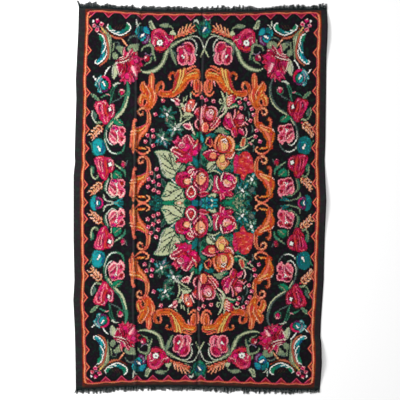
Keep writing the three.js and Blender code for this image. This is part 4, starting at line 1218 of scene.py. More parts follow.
def striped_rose(pen):
    """Pink stripes up the left, rings round a white eye, and hatched petals at the lower right."""
    pen.shape([(-6.4, 90), (-4.4, 94), (-1, 96.6), (1.6, 96.4), (3.6, 98), (5.4, 99.6), (7.4, 96.4),
               (12, 96.8), (16.6, 94), (17.8, 90), (17, 87), (20, 84.4), (20.6, 80.6), (18.6, 77),
               (15, 74.4), (11.6, 71.8), (8.4, 69.6), (4.6, 68.8), (1, 71.4), (-2.4, 73), (-5, 76),
               (-5.8, 80), (-3.6, 83.8), (-3.8, 87)], "crimson", "wine", 0.7)
    pen.shape([(-5, 90.4), (-3.4, 93.6), (0, 95.6), (1.4, 92), (0.6, 88), (-2, 87)], "scarlet")
    pen.line([(-5.4, 89.4), (-4, 92.8), (-1, 95.2)], "pink", 1, 1.6, 1)
    pen.line([(-1.6, 92.6), (0, 90)], "rose", 1.6, 1.6)
    pen.line([(2, 96), (1.6, 91), (1, 86), (1.2, 81), (2.2, 76.6)], "pink", 1.2, 2, 2.6, 3, 2)
    pen.line([(5.6, 98.6), (4, 94.6), (3.4, 90.6), (4, 86)], "pink", 1, 1.5, 1.3, 0.8)
    pen.line([(1.8, 94.6), (1.4, 89.6)], "blush", 0.8, 1)
    pen.line([(2.6, 82.4), (2, 77)], "blush", 0.9, 1.2)
    pen.line([(2.8, 93), (2.6, 88)], "crimson", 0.8, 0.8)
    pen.line([(-2, 83.8), (-4.4, 81), (-4.4, 77.4), (-1.8, 74.2)], "pink", 0.9, 1.4, 1.4, 0.9)
    pen.shape([(-2.8, 81.6), (-0.8, 83.6), (-0.2, 79), (-1, 75), (-3, 77.6)], "wine")
    pen.oval(10.4, 88.6, 6.6, 7, "scarlet", edge="wine", width=0.9)
    pen.line([(8, 95.8), (12, 96.2), (15.6, 94.4), (17.2, 90.4), (16.4, 87)], "pink", 0.8, 1.4, 1.5, 1.2, 0.8)
    pen.line([(5.4, 91.6), (7.6, 94.4), (11.6, 94.4), (14.2, 91.8), (14, 87.6)],
             "rust", 0.9, 1.3, 1.3, 1.1, 0.8)
    pen.oval(9.2, 88, 3.9, 4.4, "pink")
    pen.line([(5.6, 88), (7, 85), (10.6, 84), (13.6, 86)], "rose", 1, 1.6, 1.4, 0.8)
    pen.line([(8, 90.8), (9.6, 93), (12.6, 92.4), (13.4, 89.6), (11.4, 87.8)],
             "blush", 0.7, 0.9, 0.9, 0.8, 0.6)
    pen.line([(9.4, 91.4), (9.4, 89), (11.6, 88.6)], "rust", 0.8, 1, 0.8)
    pen.oval(11, 90.4, 1.1, 0.9, "white")
    for points in ([(4.8, 86.4), (6.6, 82.8), (10.6, 81.4), (14.6, 83.6)],
                   [(3.4, 84.4), (5.4, 81.4), (8.6, 79.6)]):
        pen.line(points, "wine", 0.9, 1.4, 0.9)
    pen.shape([(1.8, 77), (3.6, 80.2), (7, 80), (8.6, 76.4), (7.6, 72.4), (4.8, 70.6), (2, 72.6)], "salmon")
    for x in (3.4, 5.4, 7.2):
        pen.line([(x, 79.4), (x - 0.8, 75), (x - 0.4, 72)], "scarlet" if x > 4 else "blush", 0.7, 0.9, 0.6)
    pen.line([(2.4, 70.6), (5, 69.6), (8, 71.4), (9.4, 75), (9, 79)], "wine", 0.8, 1.2, 1.2, 1.2, 0.8)
    for start, middle, end, yarn in (
        ((10.4, 77.6), (13.6, 81.6), (16.8, 86), "pink"),
        ((11.6, 75.4), (15.4, 79.6), (18.6, 84.4), "blush"), ((14, 74.6), (17.8, 78), (20, 81.6), "pink"),
        ((11.4, 79.8), (14.2, 83), (15.6, 85.6), "rust"),
        ((12.2, 76.8), (15.4, 80.8), (17.6, 85), "crimson"),
        ((13.4, 75.2), (17, 79), (19.4, 83.4), "scarlet"),
    ):
        pen.line([start, middle, end], yarn, 0.8, 1.15, 0.8)
    pen.line([(13, 78.8), (15.4, 81.4)], "sage", 0.7, 0.7)
    pen.line([(10, 73.2), (13.4, 73.6)], "apricot", 1.6, 1.2)


def calyx_bud(pen):
    """A half-open striped bud on a pale branching stem."""
    pen.line([(19, 84.6), (22, 87.2), (24.8, 90.4), (26, 94), (25.4, 99), (24.4, 104), (22.8, 108),
              (21.2, 111)], "pale", 1, 1.4, 2, 3.4, 3, 2.2, 1.6, 1)
    pen.line([(17, 87), (18.8, 90), (20.4, 93.6), (22.6, 97), (23.8, 100)], "sage", 1, 1.2, 1.2, 1.4, 1)
    pen.line([(18.6, 85.2), (23.4, 89.4)], "blush", 0.9, 1)
    pen.line([(22.2, 91.6), (24.2, 95.6)], "blush", 0.9, 1)
    pen.line([(23.2, 100.4), (20.8, 99.4), (19.4, 101.6), (20.4, 104), (21.8, 101.8)],
             "pale", 0.8, 1.1, 1.2, 1, 0.8)
    pen.line([(22.6, 104.6), (23.4, 101)], "pine", 0.9, 1)
    pen.line([(26.4, 110.4), (27, 106.6), (26.2, 103)], "pale", 1, 1.4, 1)
    pen.shape([(27.4, 97), (26.8, 101), (27.4, 105), (30, 107.6), (32.6, 108.6), (35, 106), (34.6, 102),
               (32, 98.6), (29.6, 96.4)], "scarlet", "crimson", 0.7)
    pen.line([(27.8, 97.6), (27.2, 102), (28, 106)], "apricot", 1, 1.6, 1)
    for drop in (0, 2.6, 5.2, -2.6):
        pen.line([(28.2 + drop * 0.1, 103.2 - drop), (29.8, 104.2 - drop), (31.8, 105.4 - drop)],
                 "blush", 0.9, 1.1, 0.8)
    pen.line([(33.4, 105.4), (34, 101.6), (36, 103.6)], "hot", 1.4, 1.6, 1)
    pen.line([(35.8, 103.6), (37.6, 105.4), (40.4, 105.2), (42, 103.4)], "pale", 0.9, 1.3, 1.1, 0.8)
    pen.line([(30.6, 96.8), (33, 98.4), (36, 98.6), (38.6, 96)], "emerald", 0.9, 1.4, 1.2, 0.8)
    pen.line([(27.4, 94.8), (31, 95.4), (34.6, 97), (37.4, 96.6)], "pale", 1.2, 1.6, 1.6, 0.9)
    pen.line([(31, 94), (35, 94.6), (38, 93.6)], "wine", 0.8, 1, 0.8)


def hot_rose(pen):
    """A rose seen from the side, opening to the upper right, with its outer petals turned down."""
    pen.shape([(23, 79), (24.2, 84.6), (26.4, 89.6), (28.8, 91), (30.4, 88), (31.4, 83), (32.8, 78),
               (33.6, 75), (29, 72.8), (25, 75)], "hot", "wine", 0.7)
    pen.oval(28.2, 87.6, 1.7, 2.9, "pink", turn=-6)
    pen.line([(25.4, 83.6), (27.6, 81), (29.4, 77.4), (31.6, 74.6)], "magenta", 1.6, 2.4, 2.4, 1.2)
    pen.line([(24.4, 82.6), (25.6, 78.6)], "crimson", 1.2, 1.4)
    pen.line([(24.6, 76.6), (27.4, 74.6), (30.2, 73.4)], "pink", 0.8, 1.2, 0.8)
    pen.shape([(31.2, 74), (31.8, 69.4), (34, 65.6), (37.4, 67.2), (39, 70.6), (37.4, 74), (34, 76)],
              "scarlet")
    pen.line([(31.4, 72.6), (32.4, 69), (34.2, 65.8)], "pink", 0.9, 1.4, 0.9)
    pen.line([(34.4, 73), (34.8, 69.4), (36.4, 67.4)], "hot", 1.8, 2, 1)
    pen.line([(37.8, 74), (38, 70.4), (37, 68)], "crimson", 0.9, 1.2, 0.8)
    pen.shape([(38.2, 74.6), (42, 73.6), (44.4, 70), (43.6, 67.8), (40.4, 69.4), (38.4, 71.4)], "hot")
    pen.line([(38.8, 74.6), (42.4, 73), (44.2, 69.6)], "pink", 0.9, 1.2, 0.8)
    pen.shape([(32.4, 84.6), (33.4, 89), (34.4, 94.4), (36.6, 91.4), (39, 93), (39.6, 90), (42, 89.6),
               (44.6, 87), (44.2, 83), (45.4, 80), (42, 77), (38, 74.8), (35, 76.4), (33, 80)],
              "crimson", "wine", 0.8)
    pen.line([(30.2, 89.6), (31.4, 84.4), (33, 79.4), (35, 76)], "pink", 0.8, 1.2, 1.3, 0.8)
    pen.line([(34.6, 93.6), (35, 90), (34, 86), (33, 83.4)], "pink", 0.9, 1.6, 1.6, 0.9)
    pen.line([(38.8, 92), (37.6, 89), (36.2, 85.8)], "salmon", 0.9, 1.5, 0.9)
    pen.line([(36.6, 91), (36, 87.4), (34.8, 83.8)], "rust", 0.7, 0.9, 0.7)
    pen.line([(35.2, 82), (36.6, 79), (38.6, 76.4)], "scarlet", 1.2, 2, 1.4)
    pen.line([(38.4, 84), (41, 82.2), (43.4, 82.4)], "hot", 1.6, 1.8, 1.2)
    pen.line([(39, 79.6), (41.6, 79.8), (43.6, 81)], "rose", 1.2, 1.4, 0.9)
    pen.oval(40, 86.4, 3.3, 2.5, "pink")
    pen.line([(36.8, 84.6), (38, 87.6), (40.6, 89.2)], "rose", 1, 1.2, 0.8)
    for x, y in ((39.4, 87.2), (41, 88), (42.6, 87), (43.4, 85), (41.4, 85.4)):
        pen.dot(x, y, 0.65, "pink")
    pen.dot(42.2, 86, 0.6, "sage")
    pen.line([(40, 76.8), (42.8, 78.4), (45, 80.6), (47.6, 78)], "pink", 0.8, 1.4, 1.4, 1)
    pen.line([(40.4, 75.6), (44, 77.4), (46.4, 76.6)], "rust", 0.8, 1, 0.8)
    pen.line([(45.8, 85.6), (46.8, 83)], "silver", 1.2, 1)


def orange_rose(pen):
    """A rose with white stamens, a wine petal at its left and a gold one below."""
    pen.shape([(19.8, 69.6), (16.6, 66), (13.6, 61), (13, 56), (15, 52.4), (19, 50.6), (26, 49.6),
               (31.6, 49.6), (34.4, 53), (34.8, 58), (33.4, 62.6), (30.4, 66), (26.4, 67.6), (23, 68)],
              "burnt", "wine", 0.7)
    pen.line([(20, 68.6), (17, 64.6), (15, 59.6), (15.4, 55)], "salmon", 1.2, 2.2, 2.2, 1.4)
    pen.line([(19.4, 67.6), (16.6, 63.8), (15.2, 59.6)], "apricot", 0.8, 1.1, 0.8)
    pen.line([(20.6, 67), (18.6, 63), (16.8, 58), (17.4, 54)], "rust", 0.8, 1.2, 1.2, 0.8)
    pen.line([(22.4, 68.8), (24.4, 67.2), (26.4, 67)], "pink", 1, 1.2, 0.8)
    pen.oval(23, 57.6, 5.2, 6.8, "apricot")
    pen.line([(20.4, 61), (19.8, 57), (21, 53.6)], "salmon", 1, 1.8, 1.2)
    pen.line([(24.6, 58), (24.4, 54.6)], "gold", 1.8, 1.8)
    pen.line([(18.6, 61.6), (19.8, 64.6), (22, 66)], "orange", 1.4, 2, 1.2)
    pen.line([(17.4, 57), (18.6, 53), (23, 50.8), (28, 52.4), (30, 57), (29.4, 60.6)],
             "scarlet", 0.8, 1.6, 1.6, 1.6, 1.4, 0.8)
    pen.line([(26.8, 66.4), (30.6, 65), (33, 61), (33.4, 56), (31, 51.8)], "apricot", 1.2, 2.4, 2.6, 2.4, 1.4)
    pen.line([(28, 64.8), (30.2, 61.4), (31.4, 57.4)], "orange", 1, 1.6, 1.2)
    pen.line([(26.8, 63.6), (28.4, 60.8), (28.8, 57)], "rust", 0.8, 1.2, 0.8)
    pen.oval(24.8, 62, 2.8, 2.3, "rust")
    for x, y in ((23.4, 63), (24.8, 64), (26.4, 62.4), (24.2, 61), (25.8, 60.2)):
        pen.dot(x, y, 0.72, "white")
    pen.shape([(6, 60.4), (7.6, 64.8), (10.4, 66.2), (12.8, 63), (13, 58), (10.8, 55.4), (7.8, 57)], "wine")
    pen.line([(5.8, 60), (7.2, 64.2), (10, 66)], "apricot", 0.8, 1.2, 0.9)
    pen.line([(11.6, 63.4), (12.2, 59), (10.4, 56)], "salmon", 0.8, 1.3, 0.9)
    pen.line([(9.6, 63.6), (9.8, 59)], "crimson", 1.6, 1.2)
    pen.line([(7.2, 58.4), (10.4, 56.6)], "salmon", 0.9, 0.9)
    pen.shape([(2.6, 48.8), (6, 51.8), (11, 53.8), (16, 53), (19, 49.6), (17.6, 46), (15.6, 43), (12, 41.4),
               (8, 42.6), (5, 46)], "crimson", "wine", 0.7)
    pen.line([(3, 49.2), (7, 51.6), (12, 53), (16.4, 51.6)], "pink", 0.8, 1.2, 1.3, 0.8)
    pen.oval(12.8, 47, 3.7, 3.2, "salmon", edge="wine", width=0.9)
    pen.line([(10, 46.4), (11, 49.2), (14, 50), (16.8, 48.6)], "apricot", 0.8, 1.1, 1.1, 0.8)
    pen.line([(12, 46), (14.4, 45.6)], "apricot", 1, 1)
    pen.line([(16.8, 49.2), (19.8, 48.2)], "rose", 1.3, 1)
    pen.shape([(24.6, 47.6), (27, 49.6), (31, 49.8), (35, 51.6), (34.6, 48), (32.6, 44.4), (29.6, 43.6),
               (26.4, 44.6)], "salmon", "rust", 0.7)
    pen.line([(27.6, 44.6), (30.6, 44.8), (33, 47.4), (34.6, 51)], "blush", 0.9, 1.3, 1.3, 0.8)
    for points in ([(25.6, 46.8), (28.4, 49)], [(28, 46), (30, 48.6), (31.8, 46.6)]):
        pen.line(points, "crimson", 0.9, 1, 0.9)
    pen.shape([(16.2, 40.6), (18, 44.4), (21, 48.2), (24.2, 48.4), (26.6, 44.4), (29.8, 41), (28.6, 38),
               (26, 35.6), (22.8, 32.8), (19.4, 35)], "apricot", "rust", 0.7)
    pen.shape([(19.6, 42.4), (21.6, 46.8), (24.2, 46.6), (24.8, 42.6), (22.4, 40.6)], "gold")
    pen.line([(17.4, 41), (19.4, 37.6), (22.8, 34.6), (25.6, 36)], "gold", 0.9, 1.2, 1.2, 0.8)
    pen.line([(26, 44.6), (27, 41.8), (29.2, 40)], "crimson", 0.9, 1.3, 1)
    pen.line([(28, 41), (28, 38.8), (26.4, 37)], "salmon", 0.9, 1.3, 0.9)
    pen.line([(20.6, 39.6), (23, 38.4), (25.4, 39)], "burnt", 0.7, 0.9, 0.7)


def scarlet_flower(pen):
    """A full ragged flower head in scarlet, with a rose petal at its left."""
    pen.shape([(35, 46.4), (36.4, 49), (38.6, 46.4), (38.6, 40), (37, 33), (35.4, 29.4), (33.8, 31),
               (34, 35), (33.2, 40)], "hot", "wine", 0.6)
    for x, y in ((35.6, 45), (36.8, 41), (35, 38), (36.4, 34.6)):
        pen.line([(x - 1, y + 0.8), (x + 1, y - 0.8)], "rose", 0.9, 0.7)
        pen.line([(x - 0.6, y - 1.2), (x + 1.2, y - 2.4)], "crimson", 0.8, 0.8)
    pen.shape([(44.4, 51.6), (41, 49.6), (38.6, 46), (38.2, 40), (36.8, 34), (36.2, 29.6), (40, 28.6),
               (41, 25), (43.2, 22.6), (45.4, 25), (46.4, 28), (49, 29.6), (53, 30.6), (54.4, 34),
               (53.6, 39), (52.2, 45), (49.6, 49.6), (47, 51.6)], "scarlet", "wine", 0.6)
    for x, y in ((42, 47), (46, 45), (50.4, 42.6), (42, 41), (47.6, 38.6), (51.6, 34.6), (41, 33.6),
                 (45, 32), (43.4, 27)):
        pen.line([(x - 1.6, y + 1.2), (x, y + 0.2), (x + 1.8, y + 0.8)], "salmon", 0.7, 1, 0.6)
    for x, y in ((40.4, 46.4), (40, 37.4), (39.6, 35.2), (44.6, 36.4), (48, 34), (50.6, 39.6), (44, 43),
                 (42.6, 30)):
        pen.line([(x - 1.4, y - 0.8), (x + 1.6, y + 0.6)], "crimson", 0.8, 0.9)
    pen.line([(39.4, 50), (41.4, 47.6), (40.6, 44.6)], "wine", 0.7, 0.9, 0.7)
    pen.line([(47.8, 44.6), (49.2, 46.4)], "blush", 0.9, 0.9)


def rose_trio(pen):
    """Four small roses close together at the bouquet's lower middle."""
    pen.shape([(-24.4, 26), (-22.6, 29.6), (-18, 31.2), (-13, 31.6), (-9.6, 29.6), (-8.6, 25), (-9.6, 19),
               (-12, 15.6), (-17, 15), (-21.4, 17.4), (-24.4, 21.6)], "hot", "wine", 0.7)
    pen.line([(-22.6, 24), (-21, 28), (-17, 29.6)], "rose", 1.2, 1.8, 1)
    pen.line([(-19.8, 27), (-21, 22), (-18.4, 17.4), (-14, 16.4)], "crimson", 1.4, 2.4, 2.4, 1.2)
    pen.line([(-15.4, 30), (-12.4, 28.6)], "magenta", 2.2, 2)
    pen.line([(-17.6, 25), (-15.4, 26.8), (-12, 26.6), (-9.8, 24.4)], "wine", 0.9, 1.3, 1.3, 0.8)
    pen.line([(-16.4, 23.6), (-17, 20.6), (-15, 18.2)], "rust", 0.9, 1.4, 0.8)
    pen.oval(-12.8, 21.6, 3, 2.9, "apricot")
    pen.line([(-13.8, 22.8), (-12.2, 23)], "blush", 1.1, 1.1)
    pen.line([(-9.4, 24.4), (-8.8, 20.6)], "blush", 0.9, 0.9)
    pen.shape([(-13.8, 32.6), (-12.4, 36), (-9.4, 37.6), (-6, 36.2), (-3.6, 33), (-5, 29), (-7.6, 25),
               (-9.4, 28)], "crimson", "wine", 0.7)
    pen.line([(-13, 33.6), (-10.6, 36.2), (-7, 35.8)], "rose", 0.8, 1.2, 0.9)
    for points in ([(-11.8, 30.8), (-9, 33.8)],
                   [(-10.2, 29.4), (-7.4, 33.6), (-5.4, 33.8)], [(-8.2, 27.6), (-6, 31.6)]):
        pen.line(points, "blush", 0.9, 1.1, 0.8)
    pen.line([(-10.4, 30.4), (-8.4, 33)], "rust", 0.7, 0.7)
    pen.line([(-9, 27.4), (-8.4, 24.8)], "blush", 1, 1)
    pen.shape([(-7, 26), (-6, 30), (-3.4, 33.6), (0.4, 35.4), (4, 33.8), (7.4, 29.6), (9, 24), (8.4, 18),
               (6.4, 13.6), (3, 10.8), (-0.4, 11.6), (-3.4, 15), (-7, 19), (-6.8, 22.6)],
              "hot", "wine", 0.7)
    pen.line([(-3, 32), (0, 34), (3.6, 32.6), (1.6, 31)], "crimson", 1.2, 2, 1.8, 1)
    pen.line([(-5.6, 27.6), (-3.6, 31), (-1, 32)], "pink", 0.9, 1.4, 1)
    pen.line([(-5.8, 24), (-4, 19.6), (-0.4, 16), (3.4, 16.4)], "crimson", 1, 1.7, 1.7, 1)
    pen.line([(-5.6, 20.4), (-2.6, 16), (1, 13)], "pink", 0.9, 1.4, 0.9)
    pen.line([(7.4, 27), (7.8, 21.6), (5.4, 16)], "rose", 0.9, 1.5, 1)
    pen.line([(6.4, 26.4), (6.6, 21)], "wine", 0.7, 0.9)
    pen.shape([(-4, 23.6), (-3, 27.4), (0, 30.4), (3.6, 30.2), (6, 27), (5.6, 22.6), (3, 19), (0.6, 17.8),
               (-2.6, 19.8)], "apricot", "scarlet", 0.8)
    pen.line([(0.4, 27.4), (2.4, 29), (4.6, 27)], "blush", 1, 1.4, 1)
    pen.line([(-2.6, 22), (-1, 25)], "salmon", 0.8, 0.8)
    for points in ([(1, 27), (3, 27.8)],
                   [(3.6, 26.2), (5, 26.8)], [(1.4, 24.6), (3.4, 24.2)], [(4, 28.6), (5, 27.6)]):
        pen.line(points, "brown", 0.8, 0.8)
    pen.dot(3.2, 26.4, 0.7, "white")
    pen.shape([(-15, 10.6), (-12.8, 15.4), (-9, 18.4), (-5, 16), (-2.6, 10.6), (-4.4, 5), (-8.6, 2.4),
               (-12.8, 5)], "hot", "wine", 0.7)
    ring = [(-13.2, 10.4), (-11.4, 13.8), (-8.8, 16.8), (-6, 14), (-4.6, 10), (-6.4, 6.8), (-9.6, 6),
            (-12.4, 8), (-13.2, 10.4)]
    pen.line(ring, "blush", 1.1, 1.3, 1.1)
    pen.shape([(-11.2, 10.4), (-8.8, 15), (-6.2, 11.4), (-8, 7.8)], "scarlet")
    pen.line([(-9.6, 12), (-8.2, 14), (-7.4, 11)], "rust", 0.7, 1, 0.7)
    pen.dot(-9, 9.6, 0.6, "blush")
    pen.line([(-3, 9), (0.6, 8.4), (4, 10), (8.6, 9.2)], "crimson", 1.8, 3.2, 3.4, 1.6)
    pen.line([(-1.6, 7.6), (2, 6.6), (6.4, 8)], "rose", 0.9, 1.4, 1)
    pen.line([(0, 10), (4, 11.4), (7.6, 10.6)], "pink", 0.7, 1, 0.7)
    for points in ([(8, 12), (10.4, 16.4), (11.8, 20)], [(9.4, 20.6), (10.4, 24)]):
        pen.line(points, "pale", 0.8, 1.3, 0.9)


def low_rose(pen):
    """The large rose by the mirror line: upright petals, rings round its heart, petals turned down."""
    pen.shape([(12, 11.4), (13, 16), (13.6, 21), (13.6, 26), (16, 27.8), (18.4, 27.2), (19.6, 24),
               (22, 27.4), (24, 31), (28, 29.8), (31.4, 29), (35, 26.4), (37, 23.6), (36, 18.4), (34, 15),
               (31, 12.6), (33.6, 8.6), (31.6, 5.8), (28.6, 6.6), (25.6, 7), (24.6, 4.2), (22, 3.4),
               (20.6, 1), (19.4, 5), (18.8, 9)], "hot", "wine", 0.7)
    pen.line([(14.8, 26.6), (14.6, 21), (14, 15.4)], "rose", 1, 1.5, 1)
    pen.line([(17.4, 26.6), (16.4, 22), (17.2, 16.6), (19, 12.6)], "blush", 0.8, 1.3, 1.3, 0.8)
    pen.line([(18.6, 24.6), (18.4, 19), (20.2, 13.4)], "crimson", 1, 1.6, 1)
    pen.line([(11.8, 22), (12.6, 18)], "silver", 1, 1)
    pen.line([(13, 12.4), (15.4, 11.6), (17.2, 12.4)], "pink", 1.2, 1.7, 1)
    pen.line([(23.4, 30.4), (21.6, 26), (21, 21.6)], "blush", 0.9, 1.5, 0.9)
    pen.line([(24.8, 29.6), (23.4, 26), (22.6, 22.6)], "wine", 0.8, 1.2, 0.8)
    pen.line([(25.4, 29.6), (29, 29), (33, 27), (36, 23.6)], "pink", 0.9, 1.5, 1.4, 0.9)
    pen.line([(36.4, 25.4), (36.6, 22.4)], "gold", 1.1, 0.9)
    pen.oval(27.2, 20.4, 4.9, 4.5, "pink")
    pen.oval(26.8, 20.6, 3.4, 3, "apricot")
    pen.line([(23.6, 21.6), (24.4, 18.6), (27, 17)], "blush", 0.8, 1.1, 0.8)
    pen.line([(25.2, 21.4), (26.4, 19.8)], "brown", 0.7, 0.8)
    pen.line([(27.6, 21.8), (28.8, 20.4)], "rust", 0.7, 0.7)
    pen.line([(25, 18.8), (28, 18.2), (30, 19.6)], "pink", 0.8, 1, 0.8)
    pen.shape([(26.4, 24.6), (28.6, 27.6), (32, 26.8), (33, 23.6), (31.4, 21.4)], "magenta")
    pen.line([(25.6, 24.4), (27.4, 27.4), (30, 28)], "crimson", 0.8, 1.2, 0.8)
    pen.line([(22.6, 20.8), (23.8, 17), (27, 15.2), (31, 16.6), (33.4, 19.4)], "crimson", 0.7, 1, 1, 1, 0.7)
    pen.line([(21.4, 18.6), (24, 14.8), (28, 13.4), (32, 15), (35, 18.6)], "hot", 1.2, 2, 2, 1.8, 1)
    pen.line([(33, 21.6), (35, 19.4), (36, 21.8)], "blush", 0.8, 1, 0.8)
    pen.line([(29, 12.6), (32.4, 13.8), (35.2, 17)], "pink", 0.9, 1.3, 0.9)
    pen.line([(20, 14.4), (22.6, 11.6), (26, 11)], "magenta", 1.4, 2, 1.4)
    pen.line([(20.4, 8.6), (21, 3.6)], "pink", 1.4, 1)
    pen.line([(22.6, 9.4), (24.2, 6)], "pink", 0.9, 0.9)
    pen.line([(27.6, 9.4), (31.4, 7.8)], "rose", 1, 1.3)
    for points in ([(19, 11), (19.8, 6.6)],
                   [(21.8, 9), (22.8, 5)], [(25, 10.4), (26.6, 7.6)], [(28.4, 11.4), (31.8, 10)]):
        pen.line(points, "crimson", 0.8, 1, 0.7)


def striped_buds(pen):
    """The two small striped buds at the right edge of the bouquet."""
    pen.line([(45.6, 75), (46.8, 71), (45.4, 67), (42.6, 63)], "blush", 0.8, 1.2, 1, 0.8)
    pen.shape([(40.4, 56.6), (41, 61.6), (44, 66), (45.8, 63), (44.4, 57.4)], "salmon", "pale", 0.8)
    pen.line([(44.4, 65), (43, 61), (43, 57.6)], "scarlet", 0.8, 1.2, 0.9)
    pen.line([(46.6, 62.6), (48, 58.6), (51.6, 60.6)], "sea", 1.2, 1.6, 1)
    pen.line([(46.4, 64), (49.6, 64.8)], "pale", 1, 1.2)
    pen.line([(48, 59.6), (51, 61), (54, 63.4)], "pale", 0.8, 1.2, 0.9)
    pen.line([(49.4, 60.4), (51.6, 58.6)], "pink", 1.4, 1.1)
    pen.line([(50.6, 66), (52.8, 66.4)], "pale", 1, 0.8)


BERRY_RADIUS = 1.9
BERRIES = (
    (-37, 102.4), (-44.6, 88.6), (-47.4, 72.6), (-52.6, 67.6), (-46.8, 66.6), (-54.4, 61.4), (-47, 57.4),
    (-43.4, 34), (-48.8, 30), (-41.6, 26.8), (-51.4, 24), (-46.6, 21.4), (-41.2, 18.4), (-52, 16.2),
    (-46.4, 13), (-41.6, 10.8), (1.6, 105.6), (6, 103), (13.4, 101.8), (39.6, 100.4), (45.4, 104),
    (49, 99.4), (41.2, 95.2), (51.6, 94.2), (53.6, 88.2), (50.4, 82.4), (56.4, 72.6), (55.4, 66.6),
    (60, 61.6),
)


def draw_chart():
    """Draws every motif, each over those before it."""
    for at, home, motif in (
        ((77, 141), (-72, 138), corner_rose),
        ((95, 170), (-90.4, 170), corner_scrolls),
        ((106, 178), (-102, 178), corner_berries),
        ((65.8, 166), (-57.4, 167.7), top_pansy),
        ((57, 177.1), (-48, 176.7), top_leaves),
        ((41, 176.2), (-36, 177.1), grey_leaf),
        ((38, 154), (-34, 152), top_stem),
        ((18.2, 157), (-8, 157), top_loop),
        ((23.4, 169.8), (-16, 170), wheat),
        ((45.6, 163), (-39.4, 163.3), crimson_rose),
        ((23.6, 149.4), (-14.1, 149), pink_rose),
        ((57.9, 144.5), (-53, 144), top_bud),
        ((100.2, 125.5), (-96.3, 118.8), side_pansy),
        ((84, 112), (-82, 110), side_sprigs),
    ):
        both(at, home, motif)
    for points, size, yarn in zip(SIDE_STEMS, (1, 0.62), ("sea", "slate")):
        side_stem(points, size, yarn)
    both((106.2, 21), (-103, 72), side_wheat, left=(-103.4, 15))
    both((86.3, 15.4), (-83, 67.6), side_rose, left=(-83.4, 15), dyes=PINKER)
    both((107.8, 75), (-103, 72), side_wheat)
    for at, home, motif in (
        ((98, 93.4), (-95.4, 91.1), tulip_rose),
        ((108, 90), (-105, 87), bracket),
        ((104.2, 56.5), (-101.2, 54.7), teal_flower),
        ((80, 36), (-80, 34), lower_sprigs),
        ((96, 16), (-92, 14), lower_stem),
        ((97.5, 37.3), (-95.4, 35.5), lower_rose),
        ((104, 0), (-102.6, 0), line_flower),
    ):
        both(at, home, motif, dyes=DEEPER)
    both((86.3, 69), (-83, 67.6), side_rose, dyes=PINKER)
    pen = Pen()
    top_middle(pen)
    for motif in (thicket, bouquet_greens, sage_leaves, orange_buds):
        motif(pen)
    line_foliage(pen)
    stars(pen)
    line_star(pen)
    both((65, 17.5), (-60, 66), frame_scroll, left=(-60, 17.5))
    for at, home, motif in (
        ((59, 110), (-53, 110), frame_leaves),
        ((65, 66), (-60, 66), frame_scroll),
        ((26, 120), (-20, 120), frame_leaf),
    ):
        both(at, home, motif)
    for motif in (calyx_bud, striped_buds, scarlet_flower, hot_rose, orange_rose, striped_rose, magenta_rose,
                  low_rose, rose_trio):
        motif(pen)
    for x, y in BERRIES:
        berry(pen, x, y, BERRY_RADIUS)


draw_chart()

# The border counts in squares inward from the rug's edges. Cusps are the points of its scallops.
LEFT_SELVEDGE = 6.6
RIGHT_SELVEDGE = 6.0
TOP_STRIP = 0.8
BOTTOM_STRIP = 2.0
CUSPS_TOP = (-91.4, -74, -58, -42, -26, -9.4, 8, 24.7, 40.5, 55.3, 70.7, 86.3, 101.3)
CUSPS_BOTTOM = (-94.3, -78.4, -63.1, -47.1, -31.8, -14.6, 1, 18.5, 34.4, 50.4, 65.7, 81, 96.3)
CUSPS_LEFT = (173.5, 152.6, 132.4, 110.3, 91.1, 73.7, 54.5, 37.7, 18.5, 0.5, -16, -35.9, -57, -72.9, -94.6,
              -113, -129, -146.9, -164)
CUSPS_RIGHT = (170, 150.3, 130.6, 112, 94.1, 74.2, 55.1, 39.1, 19.4, 0.5, -13.6, -33.4, -53.8, -72.9, -91.4,
               -109.9, -125.8, -145.6, -163.5)
BAND = 4.4
END_BAND = 3.4
CUSP_HEIGHT = 4.2
END_CUSP_HEIGHT = 5.2
CUSP_REACH = 5.6
CORNER_CUT = 6.4
CORNER_START = 3.2
CUSP_CURVE = 1.1
DIAGONAL = 0.707
# How much the core swings with the cusps, and the height of the small steps along it.
CORE_SWING = 0.14
CORE_STEP = 0.25
# The line's straight core along a side and along an end: each yarn, and where it stops inward from the
# outer edge.
CORE = (("rust", 1), ("burnt", 1.7), ("salmon", 2), ("apricot", 2.6), ("salmon", 3), ("rust", 3.5))
END_CORE = (("brown", 1.4), ("salmon", 2.3), ("crimson", 3))
# The lines round its inner edge, and where each stops outward from there. They show most at the cusps.
CHEVRONS = (("wine", 0.4), ("crimson", 0.8), ("salmon", 2), ("wine", 3.2), ("scarlet", 9))
END_CHEVRONS = (("wine", 0.4), ("rose", 1.4), ("wine", 2.1), ("crimson", 3.3), ("wine", 4), ("scarlet", 9))


